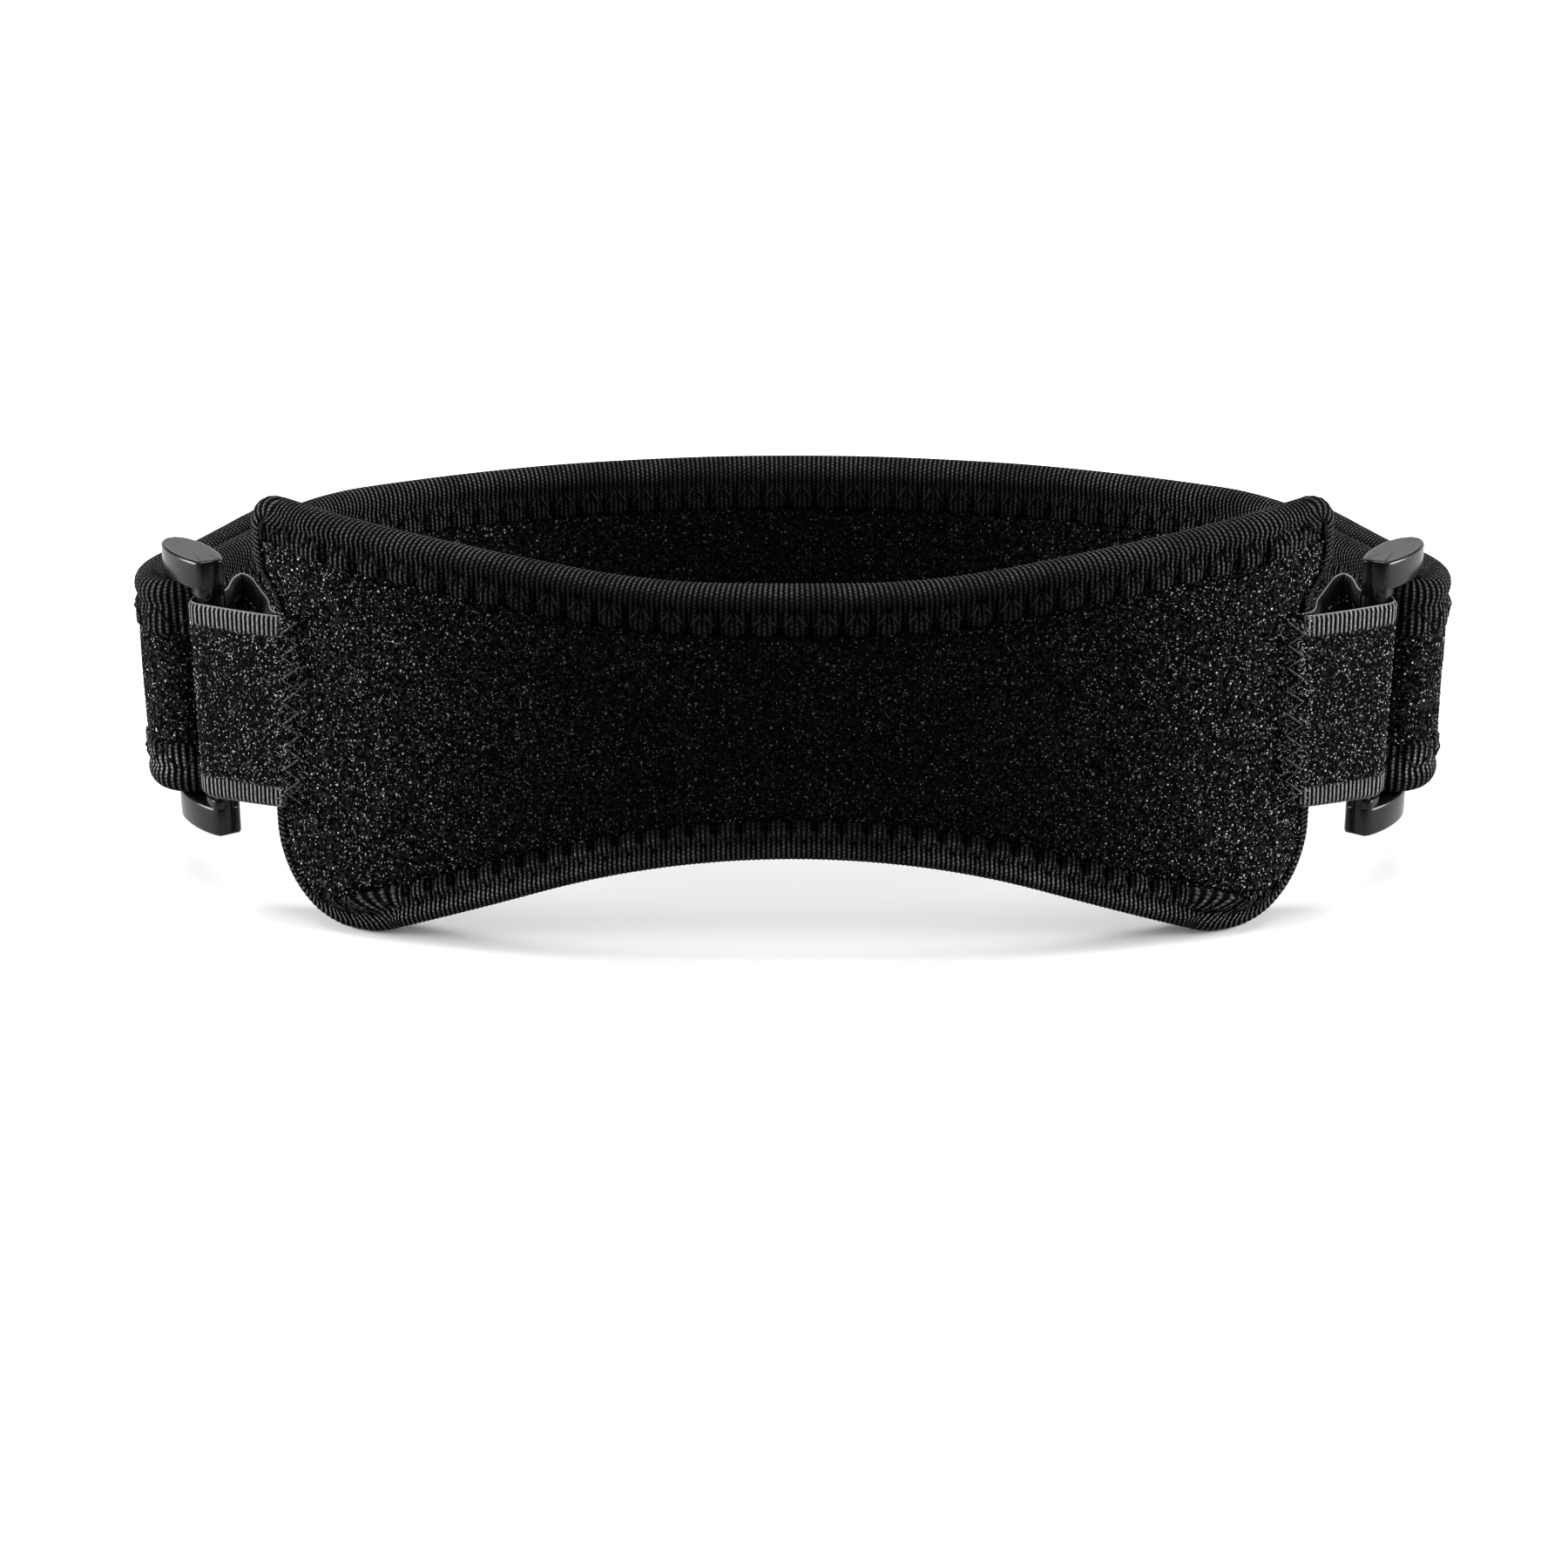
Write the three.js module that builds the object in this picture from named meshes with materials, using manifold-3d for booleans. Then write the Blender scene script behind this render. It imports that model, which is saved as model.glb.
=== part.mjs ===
// Patella strap, fastened in its loop and standing by itself on a level surface.
// Millimetres, +Z up, +X along the width, the pad faces -Y and the back band lies towards +Y.
// Every piece is first laid out in the strap's own frame: its middle plane level, z = 0 about
// half-way up the pad. The whole loop is then tipped back until it stands on the two lower
// lobes of the pad and on the lower edge of the back band, where the soft edges press flat.
import * as THREE from "three";
import Module from "manifold-3d";

const { Manifold, Mesh: SolidMesh } = await Module().then((m) => {
  m.setup();
  return m;
});

// Clearance left between neighbouring pieces.
const GAP = 0.3;

// Front pad: a butterfly of foam faced with loop cloth and bound all round.
const PAD = {
  // Plan of its middle surface, from the centre to one end.
  plan: [[0, -10], [20, -9.3], [40, -7.2], [56, -4.2], [67, -1.1], [74.2, 2.2], [79.9, 5.7]],
  // Upper edge: level in the middle, then rising towards the end.
  top: { flat: 25.5, knee: 20.5, slope: 0.168, kneeRadius: 140, cornerRadius: 5 },
  // Lower edge: heights are counted downwards.
  bottom: { flat: 17.7, knee: 19.5, slope: 0.335, kneeRadius: 120, cornerRadius: 15 },
  // The end is hollowed where the strap is sewn on, and drawn in towards the lower lobe.
  scoop: { depth: 3.6, top: 25, bottom: -13.5, upperBlend: 6.5, lowerBlend: 20 },
  drawIn: { depth: 1.4, top: 6, bottom: -16 },
  // The tape shows less of its width across the ends.
  endTapeLess: 4.3,
  // Towards each end the pad thins to this share of its thickness, over this length.
  thin: { share: 0.5, over: 12 },
  half: 2.7,
  pinched: 1.7,
  dome: 0.5,
  tape: { width: 6.9, half: 3, wall: 0.9 },
};

// Back band: one long bound strip, folded back on itself at both rings.
const BAND = {
  // Plan of its inner leg, from the back centre to the ring.
  plan: [[0, 73], [15.2, 72.2], [35.6, 68.6], [49.4, 64.2], [62.6, 58.6], [70, 54.6],
    [76, 48.6], [80, 41], [83.5, 33.8], [87, 27.2], [89.1, 22]],
  // Plan of the bulge that the outer leg makes between the ring and the inner leg.
  flare: [[97.2, 15.5], [97.1, 19], [95.8, 22.8], [93.7, 26.3]],
  // The outer leg lies on the inner leg from one of these plan points to the other.
  lapFrom: 9,
  lapTo: 6,
  // Spans longer than this get one more row of facets.
  longStep: 15,
  height: 34,
  middle: 2.3,
  cornerRadius: 5,
  thin: { share: 1, over: 1 },
  half: 1.6,
  pinched: 1,
  tape: { width: 8, half: 2.1, wall: 0.8 },
};

// Rectangular ring with two upright bars.
const RING = {
  // Centre of the far bar and the way from the near bar to it.
  farBar: [92.6, 14.7],
  heading: 57.5,
  nearWidth: 3.8,
  farWidth: 3.6,
  slot: 6.3,
  barDepth: 3.2,
  // How much taller the slot is than the band, and the height of each end piece.
  slotSpare: 0.8,
  endHeight: 4.6,
  // The end pieces reach further down over the near bar, as wide as they are there.
  shoulder: { drop: 1.3, depth: 5, inset: 0.15 },
  bevel: 0.5,
  // Plan of the end pieces: distance along the ring and half depth there.
  leaf: [[0, 1.6], [0.7, 2.2], [3.6, 3], [7.2, 3.2], [10.4, 2.8], [12.7, 1.9], [13.7, 0.9]],
};

// Webbing strap: sewn on the pad's face, round the near bar and slack on its way back.
const STRAP = {
  width: 31,
  half: 0.4,
  // Where the outer leg is sewn, counted along the pad from its centre, and how much further out
  // its lower edge lies. The slack leg ends under it, a little further out.
  sewnFrom: 72.8,
  sewnTo: 76.4,
  slant: 1.4,
  tuckedFrom: 75.6,
  tuckedTo: 77.4,
  // Plan of the slack inner leg, from the slot back to the pad, along its two edges.
  slackHigh: [[86.9, 9.25], [85.6, 9.9], [84.9, 11.6], [84.7, 14], [84.3, 16.8], [83.3, 18.4],
    [82, 17.2], [80.3, 13.2], [79, 9.2], [78.6, 5.6], [78.2, 2.2]],
  slackLow: [[86.9, 9.25], [85.8, 9.8], [85.3, 11.2], [85.3, 13], [85, 14.6], [84.4, 15.6],
    [83.7, 14.7], [83.1, 11.6], [82.7, 8], [82.3, 4.6], [80.8, 1.7]],
};

// Hook patch between the two legs of the band.
const PATCH = { height: 15, width: 18, thickness: 0.5, inset: 2 };

// The loop widens upwards: share of the width gained per millimetre of height.
const WIDENING = 0.0004;

// How deep the soft edges press into the surface that they stand on.
const SQUASH = 0.45;

const COLOURS = { loop: 0x1b1b1d, tape: 0x161618, webbing: 0x202022, plastic: 0x2a2a2c, hook: 0x121213 };

// A smooth plan curve through the given points, followed by its length.
class Track {
  constructor(points, perSpan = 12) {
    const knots = points.map(([x, y]) => new THREE.Vector3(x, y, 0));
    const curve = new THREE.CatmullRomCurve3(knots, false, "centripetal");
    this.spots = curve.getPoints((points.length - 1) * perSpan);
    this.reach = [0];
    for (let i = 1; i < this.spots.length; i += 1) {
      this.reach.push(this.reach[i - 1] + this.spots[i].distanceTo(this.spots[i - 1]));
    }
    this.length = this.reach[this.reach.length - 1];
    this.knots = points.map((_, i) => this.reach[i * perSpan]);
  }

  // Place and left-hand normal at a length, straight on beyond the ends.
  at(length) {
    const last = this.spots.length - 1;
    let i = 1;
    while (i < last && this.reach[i] < length) {
      i += 1;
    }
    const span = this.reach[i] - this.reach[i - 1];
    const f = (length - this.reach[i - 1]) / span;
    const way = (k) => {
      const a = this.spots[Math.max(k - 1, 0)];
      const b = this.spots[Math.min(k + 1, last)];
      return b.clone().sub(a).normalize();
    };
    const along = way(i - 1).lerp(way(i), Math.min(Math.max(f, 0), 1)).normalize();
    const spot = this.spots[i - 1].clone().lerp(this.spots[i], f);
    return { x: spot.x, y: spot.y, nx: -along.y, ny: along.x };
  }

  // The same place, moved sideways by an offset.
  beside(length, offset) {
    const p = this.at(length);
    return [p.x + p.nx * offset, p.y + p.ny * offset];
  }
}

const mirrored = (points) => points.map(([x, y]) => [-x, y]);

// Triangles gathered from points in space.
class Hull {
  constructor() {
    this.points = [];
    this.faces = [];
  }

  add(point) {
    this.points.push(point);
    return this.points.length - 1;
  }

  // Joins two rows of equally many points with quads; a closed row also joins its ends.
  band(a, b, closed) {
    const count = closed ? a.length : a.length - 1;
    for (let i = 0; i < count; i += 1) {
      const j = (i + 1) % a.length;
      this.faces.push([a[i], a[j], b[j]], [a[i], b[j], b[i]]);
    }
  }

  // Six times the volume enclosed.
  sweep() {
    let sum = 0;
    for (const [a, b, c] of this.faces) {
      const [p, q, r] = [this.points[a], this.points[b], this.points[c]];
      sum += p[0] * (q[1] * r[2] - q[2] * r[1]);
      sum += p[1] * (q[2] * r[0] - q[0] * r[2]);
      sum += p[2] * (q[0] * r[1] - q[1] * r[0]);
    }
    return sum;
  }

  geometry() {
    const outward = this.sweep() > 0;
    const geometry = new THREE.BufferGeometry();
    geometry.setAttribute("position", new THREE.Float32BufferAttribute(this.points.flat(), 3));
    geometry.setIndex(this.faces.flatMap(([a, b, c]) => (outward ? [a, b, c] : [a, c, b])));
    return geometry;
  }
}

// Height of one long edge at a distance from the centre, moved inwards by an inset.
function edgeHeight(edge, s, inset) {
  const { flat, knee, slope, kneeRadius } = edge;
  if (slope === 0) {
    return flat - inset;
  }
  const lean = Math.hypot(1, slope);
  const start = knee + (kneeRadius * (1 - lean)) / slope;
  const radius = kneeRadius + inset;
  const across = Math.abs(s) - start;
  if (across <= 0) {
    return flat - inset;
  }
  if (across < (radius * slope) / lean) {
    return flat + kneeRadius - Math.sqrt(radius ** 2 - across ** 2);
  }
  return flat + slope * (Math.abs(s) - knee) - inset * lean;
}

// Rounded corner between a long edge and the end, from the edge to the end.
function cornerArc(edge, end, inset, endInset, steps) {
  const radius = Math.max(edge.cornerRadius - inset, 0.6);
  const lean = Math.hypot(1, edge.slope);
  const s = end - endInset - radius;
  const z = edge.flat + edge.slope * (s - edge.knee) - (inset + radius) * lean;
  const from = Math.PI / 2 + Math.atan(edge.slope);
  return Array.from({ length: steps + 1 }, (_, i) => {
    const angle = from * (1 - i / steps);
    return [s + radius * Math.cos(angle), z + radius * Math.sin(angle)];
  });
}

const smooth = (t) => {
  const u = Math.min(Math.max(t, 0), 1);
  return u * u * (3 - 2 * u);
};

// A bound panel: its outline on the flat, its inset copies and its bending along a track.
class Panel {
  constructor({ top, bottom, scoop, drawIn, thin, tape, endTapeLess, track, stations, arcs, middle }) {
    Object.assign(this, { top, bottom, scoop, drawIn, thin, tape, endTapeLess, track, stations, arcs });
    this.middle = middle;
    this.end = track.length / 2;
  }

  // Inset across the end that belongs to an inset of the long edges.
  endInset(inset) {
    const free = this.tape.wall + GAP + 1;
    const share = Math.min(Math.max((inset - free) / (this.tape.width - free), 0), 1);
    return inset - this.endTapeLess * share;
  }

  // One quarter of the outline on the side of +s: upper edge, end, lower edge.
  quarter(inset) {
    const endInset = this.endInset(inset);
    const lowEnd = this.end - (this.drawIn ? this.drawIn.depth : 0);
    const upperArc = cornerArc(this.top, this.end, inset, endInset, this.arcs.top);
    const lowerArc = cornerArc(this.bottom, lowEnd, inset, endInset, this.arcs.bottom);
    const upper = this.stations.top.map((s) => [s, edgeHeight(this.top, s, inset)]);
    const lower = this.stations.bottom.map((s) => [s, edgeHeight(this.bottom, s, inset)]);
    const [halfTop, halfBottom] = [this.arcs.top / 2, this.arcs.bottom / 2];
    const down = ([s, z]) => [s, -z];
    const topChain = [...upper, ...upperArc.slice(0, halfTop + 1)];
    const bottomChain = [...lower, ...lowerArc.slice(0, halfBottom + 1)].map(down);
    const straight = this.stations.end.map((z) => [this.end - endInset - this.hollow(z), z]);
    const side = [...upperArc.slice(halfTop), ...straight, ...lowerArc.slice(halfBottom).reverse().map(down)];
    return { topChain, bottomChain, side };
  }

  // How far the end is hollowed at a height.
  hollow(z) {
    if (!this.scoop) {
      return 0;
    }
    const { depth, top, bottom, upperBlend, lowerBlend } = this.scoop;
    const { drawIn } = this;
    const drawn = drawIn.depth * smooth((drawIn.top - z) / (drawIn.top - drawIn.bottom));
    return drawn + depth * smooth((top - z) / upperBlend) * smooth((z - bottom) / lowerBlend);
  }

  // The four sides of the outline, each from left to right or from top to bottom.
  sides(inset) {
    const { topChain, bottomChain, side } = this.quarter(inset);
    const flip = ([s, z]) => [-s, z];
    const whole = (chain) => [...chain.slice(1).reverse().map(flip), ...chain];
    return { top: whole(topChain), bottom: whole(bottomChain), left: side.map(flip), right: side };
  }

  // The outline as one closed row.
  outline(inset) {
    const { top, bottom, left, right } = this.sides(inset);
    return [
      ...top.slice(0, -1),
      ...right.slice(0, -1),
      ...[...bottom].reverse().slice(0, -1),
      ...[...left].reverse().slice(0, -1),
    ];
  }

  // A grid over the inside of the outline, rows from top to bottom.
  grid(inset) {
    const { top, bottom, left, right } = this.sides(inset);
    const share = (chain, k, i) => (chain[i][k] - chain[0][k]) / (chain[chain.length - 1][k] - chain[0][k]);
    const blend = (u, v, k, i, j) => {
      const edges = (1 - v) * top[i][k] + v * bottom[i][k] + (1 - u) * left[j][k] + u * right[j][k];
      const upper = (1 - u) * top[0][k] + u * top[top.length - 1][k];
      const lower = (1 - u) * bottom[0][k] + u * bottom[bottom.length - 1][k];
      return edges - (1 - v) * upper - v * lower;
    };
    return left.map((_, j) => top.map((__, i) => {
      const u = (share(top, 0, i) + share(bottom, 0, i)) / 2;
      const v = share(left, 1, j);
      return [blend(u, v, 0, i, j), blend(u, v, 1, i, j)];
    }));
  }

  // Share of the thickness that is left at a distance from the centre.
  thinned(s) {
    const { share, over } = this.thin;
    return 1 - (1 - share) * smooth((Math.abs(s) - this.end + over) / over);
  }

  // A point of the panel in space: n is the distance from its middle surface.
  place(s, z, n) {
    const [x, y] = this.track.beside(s + this.end, n * this.thinned(s));
    return [x, y, z + this.middle];
  }

  // Foam core between the two tapes, thinner where the tape pinches it.
  core({ half, pinched, dome = 0, tape }) {
    const hull = new Hull();
    const shoulder = tape.width + GAP;
    const lip = tape.wall + GAP;
    const rows = [
      [shoulder + 1, -half], [shoulder, -pinched], [lip + 1, -pinched], [lip, 0],
      [lip + 1, pinched], [shoulder, pinched], [shoulder + 1, half],
    ];
    const rings = rows.map(([inset, n]) => this.outline(inset).map(([s, z]) => hull.add(this.place(s, z, n))));
    for (let i = 1; i < rings.length; i += 1) {
      hull.band(rings[i - 1], rings[i], true);
    }
    this.cap(hull, shoulder + 1, -half, -dome, rings[0], true);
    this.cap(hull, shoulder + 1, half, dome, rings[rings.length - 1], false);
    return hull.geometry();
  }

  // One face of the core, its border being points that are already there.
  cap(hull, inset, n, dome, border, turned) {
    const grid = this.grid(inset);
    const [rows, columns] = [grid.length - 1, grid[0].length - 1];
    const borderIndex = (j, i) => {
      if (j === 0) {
        return i;
      }
      if (i === columns) {
        return columns + j;
      }
      if (j === rows) {
        return columns + rows + (columns - i);
      }
      return i === 0 ? 2 * columns + rows + (rows - j) : -1;
    };
    const index = grid.map((row, j) => row.map(([s, z], i) => {
      const known = borderIndex(j, i);
      if (known >= 0) {
        return border[known];
      }
      const swell = dome * Math.sin((Math.PI * i) / columns) * Math.sin((Math.PI * j) / rows);
      return hull.add(this.place(s, z, n + swell));
    }));
    for (let j = 1; j <= rows; j += 1) {
      const [a, b] = turned ? [index[j], index[j - 1]] : [index[j - 1], index[j]];
      hull.band(a, b, false);
    }
  }

  // Binding tape folded over the edge all round, with a rounded rim.
  binding({ width, half, wall }) {
    const hull = new Hull();
    const inner = half - wall;
    const rim = [-70, -35, 0, 35, 70].map((degrees) => {
      const angle = THREE.MathUtils.degToRad(degrees);
      return [half * (1 - Math.cos(angle)), half * Math.sin(angle)];
    });
    const section = [
      [width, -half], ...rim, [width, half],
      [width, inner], [wall + 1, inner], [wall, 0], [wall + 1, -inner], [width, -inner],
    ];
    const rings = section.map(([inset, n]) => this.outline(inset).map(([s, z]) => hull.add(this.place(s, z, n))));
    for (let i = 0; i < rings.length; i += 1) {
      hull.band(rings[i], rings[(i + 1) % rings.length], true);
    }
    return hull.geometry();
  }
}

// Unit vectors of the ring on the side of +X: towards the far bar, and towards the wearer.
function ringWays() {
  const angle = THREE.MathUtils.degToRad(RING.heading);
  const along = [Math.cos(angle), Math.sin(angle)];
  return { along, inward: [-along[1], along[0]] };
}

// A plan point given along the ring from its far bar, and towards the wearer.
function atRing(along, inward) {
  const ways = ringWays();
  return [0, 1].map((k) => RING.farBar[k] + ways.along[k] * along + ways.inward[k] * inward);
}

// Distance between the two bars of the ring, centre to centre.
const barSpan = () => RING.nearWidth / 2 + RING.slot + RING.farWidth / 2;

// Half turn about a bar: 0 degrees points at the wearer, 90 degrees into the slot.
function turnAbout(centre, radius, degrees, slotWay) {
  return degrees.map((value) => {
    const angle = THREE.MathUtils.degToRad(value);
    return atRing(centre + slotWay * radius * Math.sin(angle), radius * Math.cos(angle));
  });
}

// Points of a track at even steps of about the given size between two lengths.
function between(from, to, step) {
  const count = Math.max(1, Math.round((to - from) / step));
  return Array.from({ length: count + 1 }, (_, i) => from + ((to - from) * i) / count);
}

// The middle line of the band on the side of +X, from the back centre to its tail.
function bandHalfPlan() {
  const inner = new Track([...mirrored(BAND.plan.slice(1, 3)).reverse(), ...BAND.plan]);
  const pitch = 2 * BAND.tape.half + GAP;
  const radius = RING.farWidth / 2 + GAP + BAND.tape.half;
  const turn = turnAbout(0, radius, [0, 30, 60, 90, 120, 150, 180], -1);
  const from = inner.knots[BAND.lapFrom + 2];
  const to = inner.knots[BAND.lapTo + 2];
  const lap = between(to, from, 7).reverse().map((length) => inner.beside(length, pitch));
  return [...BAND.plan, ...turn, ...BAND.flare, ...lap];
}

function bandPanel() {
  const half = bandHalfPlan();
  const track = new Track([...mirrored(half.slice(1)).reverse(), ...half]);
  const centre = track.length / 2;
  const knots = track.knots.filter((length) => length > centre - 0.01).map((length) => length - centre);
  const reach = centre - BAND.tape.width - 3;
  const stations = knots.filter((s) => s < reach).flatMap((s, i) => {
    const long = i > 0 && s - knots[i - 1] > BAND.longStep;
    return long ? [(s + knots[i - 1]) / 2, s] : [s];
  });
  const edge = { flat: BAND.height / 2, knee: 0, slope: 0, kneeRadius: 0, cornerRadius: BAND.cornerRadius };
  return new Panel({
    top: edge, bottom: edge, thin: BAND.thin, tape: BAND.tape, endTapeLess: 0, track, middle: BAND.middle,
    stations: { top: stations, bottom: stations, end: [4, -4] }, arcs: { top: 2, bottom: 2 },
  });
}

function padPanel() {
  const track = new Track([...mirrored(PAD.plan.slice(1)).reverse(), ...PAD.plan]);
  const end = track.length / 2;
  const upperReach = end - PAD.tape.width - 4;
  const lowerReach = end - PAD.bottom.cornerRadius * 1.5;
  const stations = {
    top: between(0, upperReach, upperReach / 10),
    bottom: between(0, lowerReach, lowerReach / 8),
    end: between(PAD.drawIn.bottom, PAD.scoop.top - 2, 4.5).reverse(),
  };
  return new Panel({ ...PAD, track, stations, arcs: { top: 4, bottom: 8 }, middle: 0 });
}

// A solid through a row of like outlines, closed by the first and the last of them.
function loft(outlines) {
  const hull = new Hull();
  const rows = outlines.map((outline) => outline.map((point) => hull.add(point)));
  for (let i = 1; i < rows.length; i += 1) {
    hull.band(rows[i - 1], rows[i], true);
  }
  const [first, last] = [rows[0], rows[rows.length - 1]];
  for (let i = 2; i < first.length; i += 1) {
    hull.faces.push([first[0], first[i], first[i - 1]], [last[0], last[i - 1], last[i]]);
  }
  return hull.geometry();
}

// Lengths of the given points along a track, and half-way between them.
function halfSteps(track) {
  return track.knots.flatMap((length, i) => {
    const next = track.knots[i + 1];
    return next === undefined ? [length] : [length, (length + next) / 2];
  });
}

// A strip of even thickness that stands on edge, its two edges along plan lines of their own.
function strip(lowTrack, highTrack, half, from, to) {
  const [low, high] = [halfSteps(lowTrack), halfSteps(highTrack)];
  return loft(low.map((length, i) => [
    [...lowTrack.beside(length, half), from],
    [...lowTrack.beside(length, -half), from],
    [...highTrack.beside(high[i], -half), to],
    [...highTrack.beside(high[i], half), to],
  ]));
}

// Webbing strap on the side of +X.
function strapGeometry(pad) {
  const ply = (s, above) => {
    const offset = PAD.tape.half * pad.thinned(s) + GAP + STRAP.half + above;
    return pad.track.beside(s + pad.end, -offset);
  };
  const clear = 2 * STRAP.half + 2 * GAP;
  const radius = RING.nearWidth / 2 + GAP + STRAP.half;
  const around = turnAbout(-barSpan(), radius, [212, 195, 175, 150, 125, 100, 75], 1);
  const sides = [[STRAP.slackLow, STRAP.slant], [STRAP.slackHigh, 0]];
  const [low, high] = sides.map(([slack, further]) => new Track([
    ply(STRAP.sewnFrom + further, 0),
    ply(STRAP.sewnTo + further, clear),
    ...around,
    ...slack,
    ply(STRAP.tuckedTo + further, 0),
    ply(STRAP.tuckedFrom + further, 0),
  ]));
  return strip(low, high, STRAP.half, BAND.middle - STRAP.width / 2, BAND.middle + STRAP.width / 2);
}

// Hook patch on the side of +X, between the legs of the band near the tail.
function patchGeometry() {
  const half = bandHalfPlan();
  const track = new Track(half);
  const offset = BAND.tape.half + GAP / 2;
  const to = track.length - BAND.tape.width - PATCH.inset;
  const inside = new Track(between(to - PATCH.width, to, 4).map((length) => track.beside(length, offset)));
  const [low, high] = [BAND.middle - PATCH.height / 2, BAND.middle + PATCH.height / 2];
  return strip(inside, inside, PATCH.thickness / 2, low, high);
}

// Turns a geometry into a solid that can be joined.
function solid(geometry) {
  const flat = geometry.index ? geometry.toNonIndexed() : geometry;
  const positions = flat.getAttribute("position").array;
  const corners = Uint32Array.from({ length: positions.length / 3 }, (_, i) => i);
  const mesh = new SolidMesh({ numProp: 3, vertProperties: Float32Array.from(positions), triVerts: corners });
  mesh.merge();
  return new Manifold(mesh);
}

function fromSolid(body) {
  const mesh = body.getMesh();
  const geometry = new THREE.BufferGeometry();
  geometry.setAttribute("position", new THREE.Float32BufferAttribute(mesh.vertProperties, 3));
  geometry.setIndex(Array.from(mesh.triVerts));
  return geometry;
}

// An upright bar of the ring between two heights.
function bar(centre, width, depth, from, to) {
  const outline = Array.from({ length: 12 }, (_, i) => {
    const angle = (i * Math.PI) / 6;
    return atRing(centre + (width / 2) * Math.cos(angle), (depth / 2) * Math.sin(angle));
  });
  return loft([from, to].map((z) => outline.map(([x, y]) => [x, y, z])));
}

// Plan of an end piece, a leaf blunt at the near bar and pointed at the far bar, drawn in by an inset.
function leafOutline(inset) {
  const length = RING.nearWidth + RING.slot + RING.farWidth;
  const start = RING.farWidth / 2 - length + inset;
  const scale = (length - 2 * inset) / RING.leaf[RING.leaf.length - 1][0];
  const side = RING.leaf.map(([along, depth]) => [start + along * scale, depth - inset]);
  const near = side.map(([along, depth]) => atRing(along, depth));
  const far = side.map(([along, depth]) => atRing(along, -depth));
  return [...near.reverse(), ...far];
}

// An end piece of the ring between two heights, its edges bevelled.
function endPiece(from, to) {
  const levels = [[from, RING.bevel], [from + RING.bevel, 0], [to - RING.bevel, 0], [to, RING.bevel]];
  return loft(levels.map(([z, inset]) => leafOutline(inset).map(([x, y]) => [x, y, z])));
}

// Thickening of the near bar next to an end piece, between two heights.
function shoulder(from, to) {
  const [half, side] = [RING.nearWidth / 2 - RING.shoulder.inset, RING.shoulder.depth / 2];
  const corners = [[-half, side * 0.7], [-half * 0.7, side], [half * 0.7, side], [half, side * 0.7]];
  const whole = [...corners, ...corners.map(([along, inward]) => [along, -inward]).reverse()];
  const outline = whole.map(([along, inward]) => atRing(along - barSpan(), inward));
  return loft([from, to].map((z) => outline.map(([x, y]) => [x, y, z])));
}

// Ring on the side of +X.
function ringGeometry() {
  const slotHalf = (BAND.height + RING.slotSpare) / 2;
  const [slotLow, slotHigh] = [BAND.middle - slotHalf, BAND.middle + slotHalf];
  const [low, high] = [slotLow - RING.endHeight, slotHigh + RING.endHeight];
  const sunk = RING.endHeight / 2;
  const pieces = [
    endPiece(low, slotLow),
    endPiece(slotHigh, high),
    bar(-barSpan(), RING.nearWidth, RING.barDepth, slotLow - sunk, slotHigh + sunk),
    bar(0, RING.farWidth, RING.barDepth, slotLow - sunk, slotHigh + sunk),
    shoulder(slotLow - sunk / 2, slotLow + RING.shoulder.drop),
    shoulder(slotHigh - RING.shoulder.drop, slotHigh + sunk / 2),
  ];
  return fromSolid(Manifold.union(pieces.map(solid)));
}

// The same geometry on the other side of the loop.
function mirror(geometry) {
  const copy = geometry.clone();
  copy.scale(-1, 1, 1);
  const index = copy.index.array;
  for (let i = 0; i < index.length; i += 3) {
    [index[i + 1], index[i + 2]] = [index[i + 2], index[i + 1]];
  }
  return copy;
}

// Widens a geometry with its height.
function widen(geometry) {
  const p = geometry.getAttribute("position");
  for (let i = 0; i < p.count; i += 1) {
    p.setX(i, p.getX(i) * (1 + WIDENING * p.getZ(i)));
  }
  return geometry;
}

// Height of the lowest point of a geometry when the loop is tipped back by an angle.
function lowest(geometry, angle) {
  const p = geometry.getAttribute("position");
  const [sin, cos] = [Math.sin(angle), Math.cos(angle)];
  let low = Infinity;
  for (let i = 0; i < p.count; i += 1) {
    low = Math.min(low, p.getZ(i) * cos - p.getY(i) * sin);
  }
  return low;
}

// Angle at which two geometries come down to the same height, the first one being in front.
function restingAngle(front, back) {
  let [from, to] = [0, Math.PI / 4];
  for (let i = 0; i < 40; i += 1) {
    const angle = (from + to) / 2;
    if (lowest(back, angle) > lowest(front, angle)) {
      from = angle;
    } else {
      to = angle;
    }
  }
  return from;
}

// Tips the loop back, sets it down and presses its lowest edges flat.
function settle(geometries, angle, floor) {
  const box = new THREE.Box3();
  geometries.forEach((geometry) => {
    geometry.rotateX(-angle).translate(0, 0, -floor);
    geometry.computeBoundingBox();
    box.union(geometry.boundingBox);
  });
  const centre = box.getCenter(new THREE.Vector3());
  geometries.forEach((geometry) => {
    geometry.translate(-centre.x, -centre.y, 0);
    const p = geometry.getAttribute("position");
    for (let i = 0; i < p.count; i += 1) {
      p.setZ(i, Math.max(p.getZ(i), 0));
    }
    p.needsUpdate = true;
  });
}

function material(name, colour, roughness) {
  return new THREE.MeshStandardMaterial({ name, color: colour, roughness, metalness: 0 });
}

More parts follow.
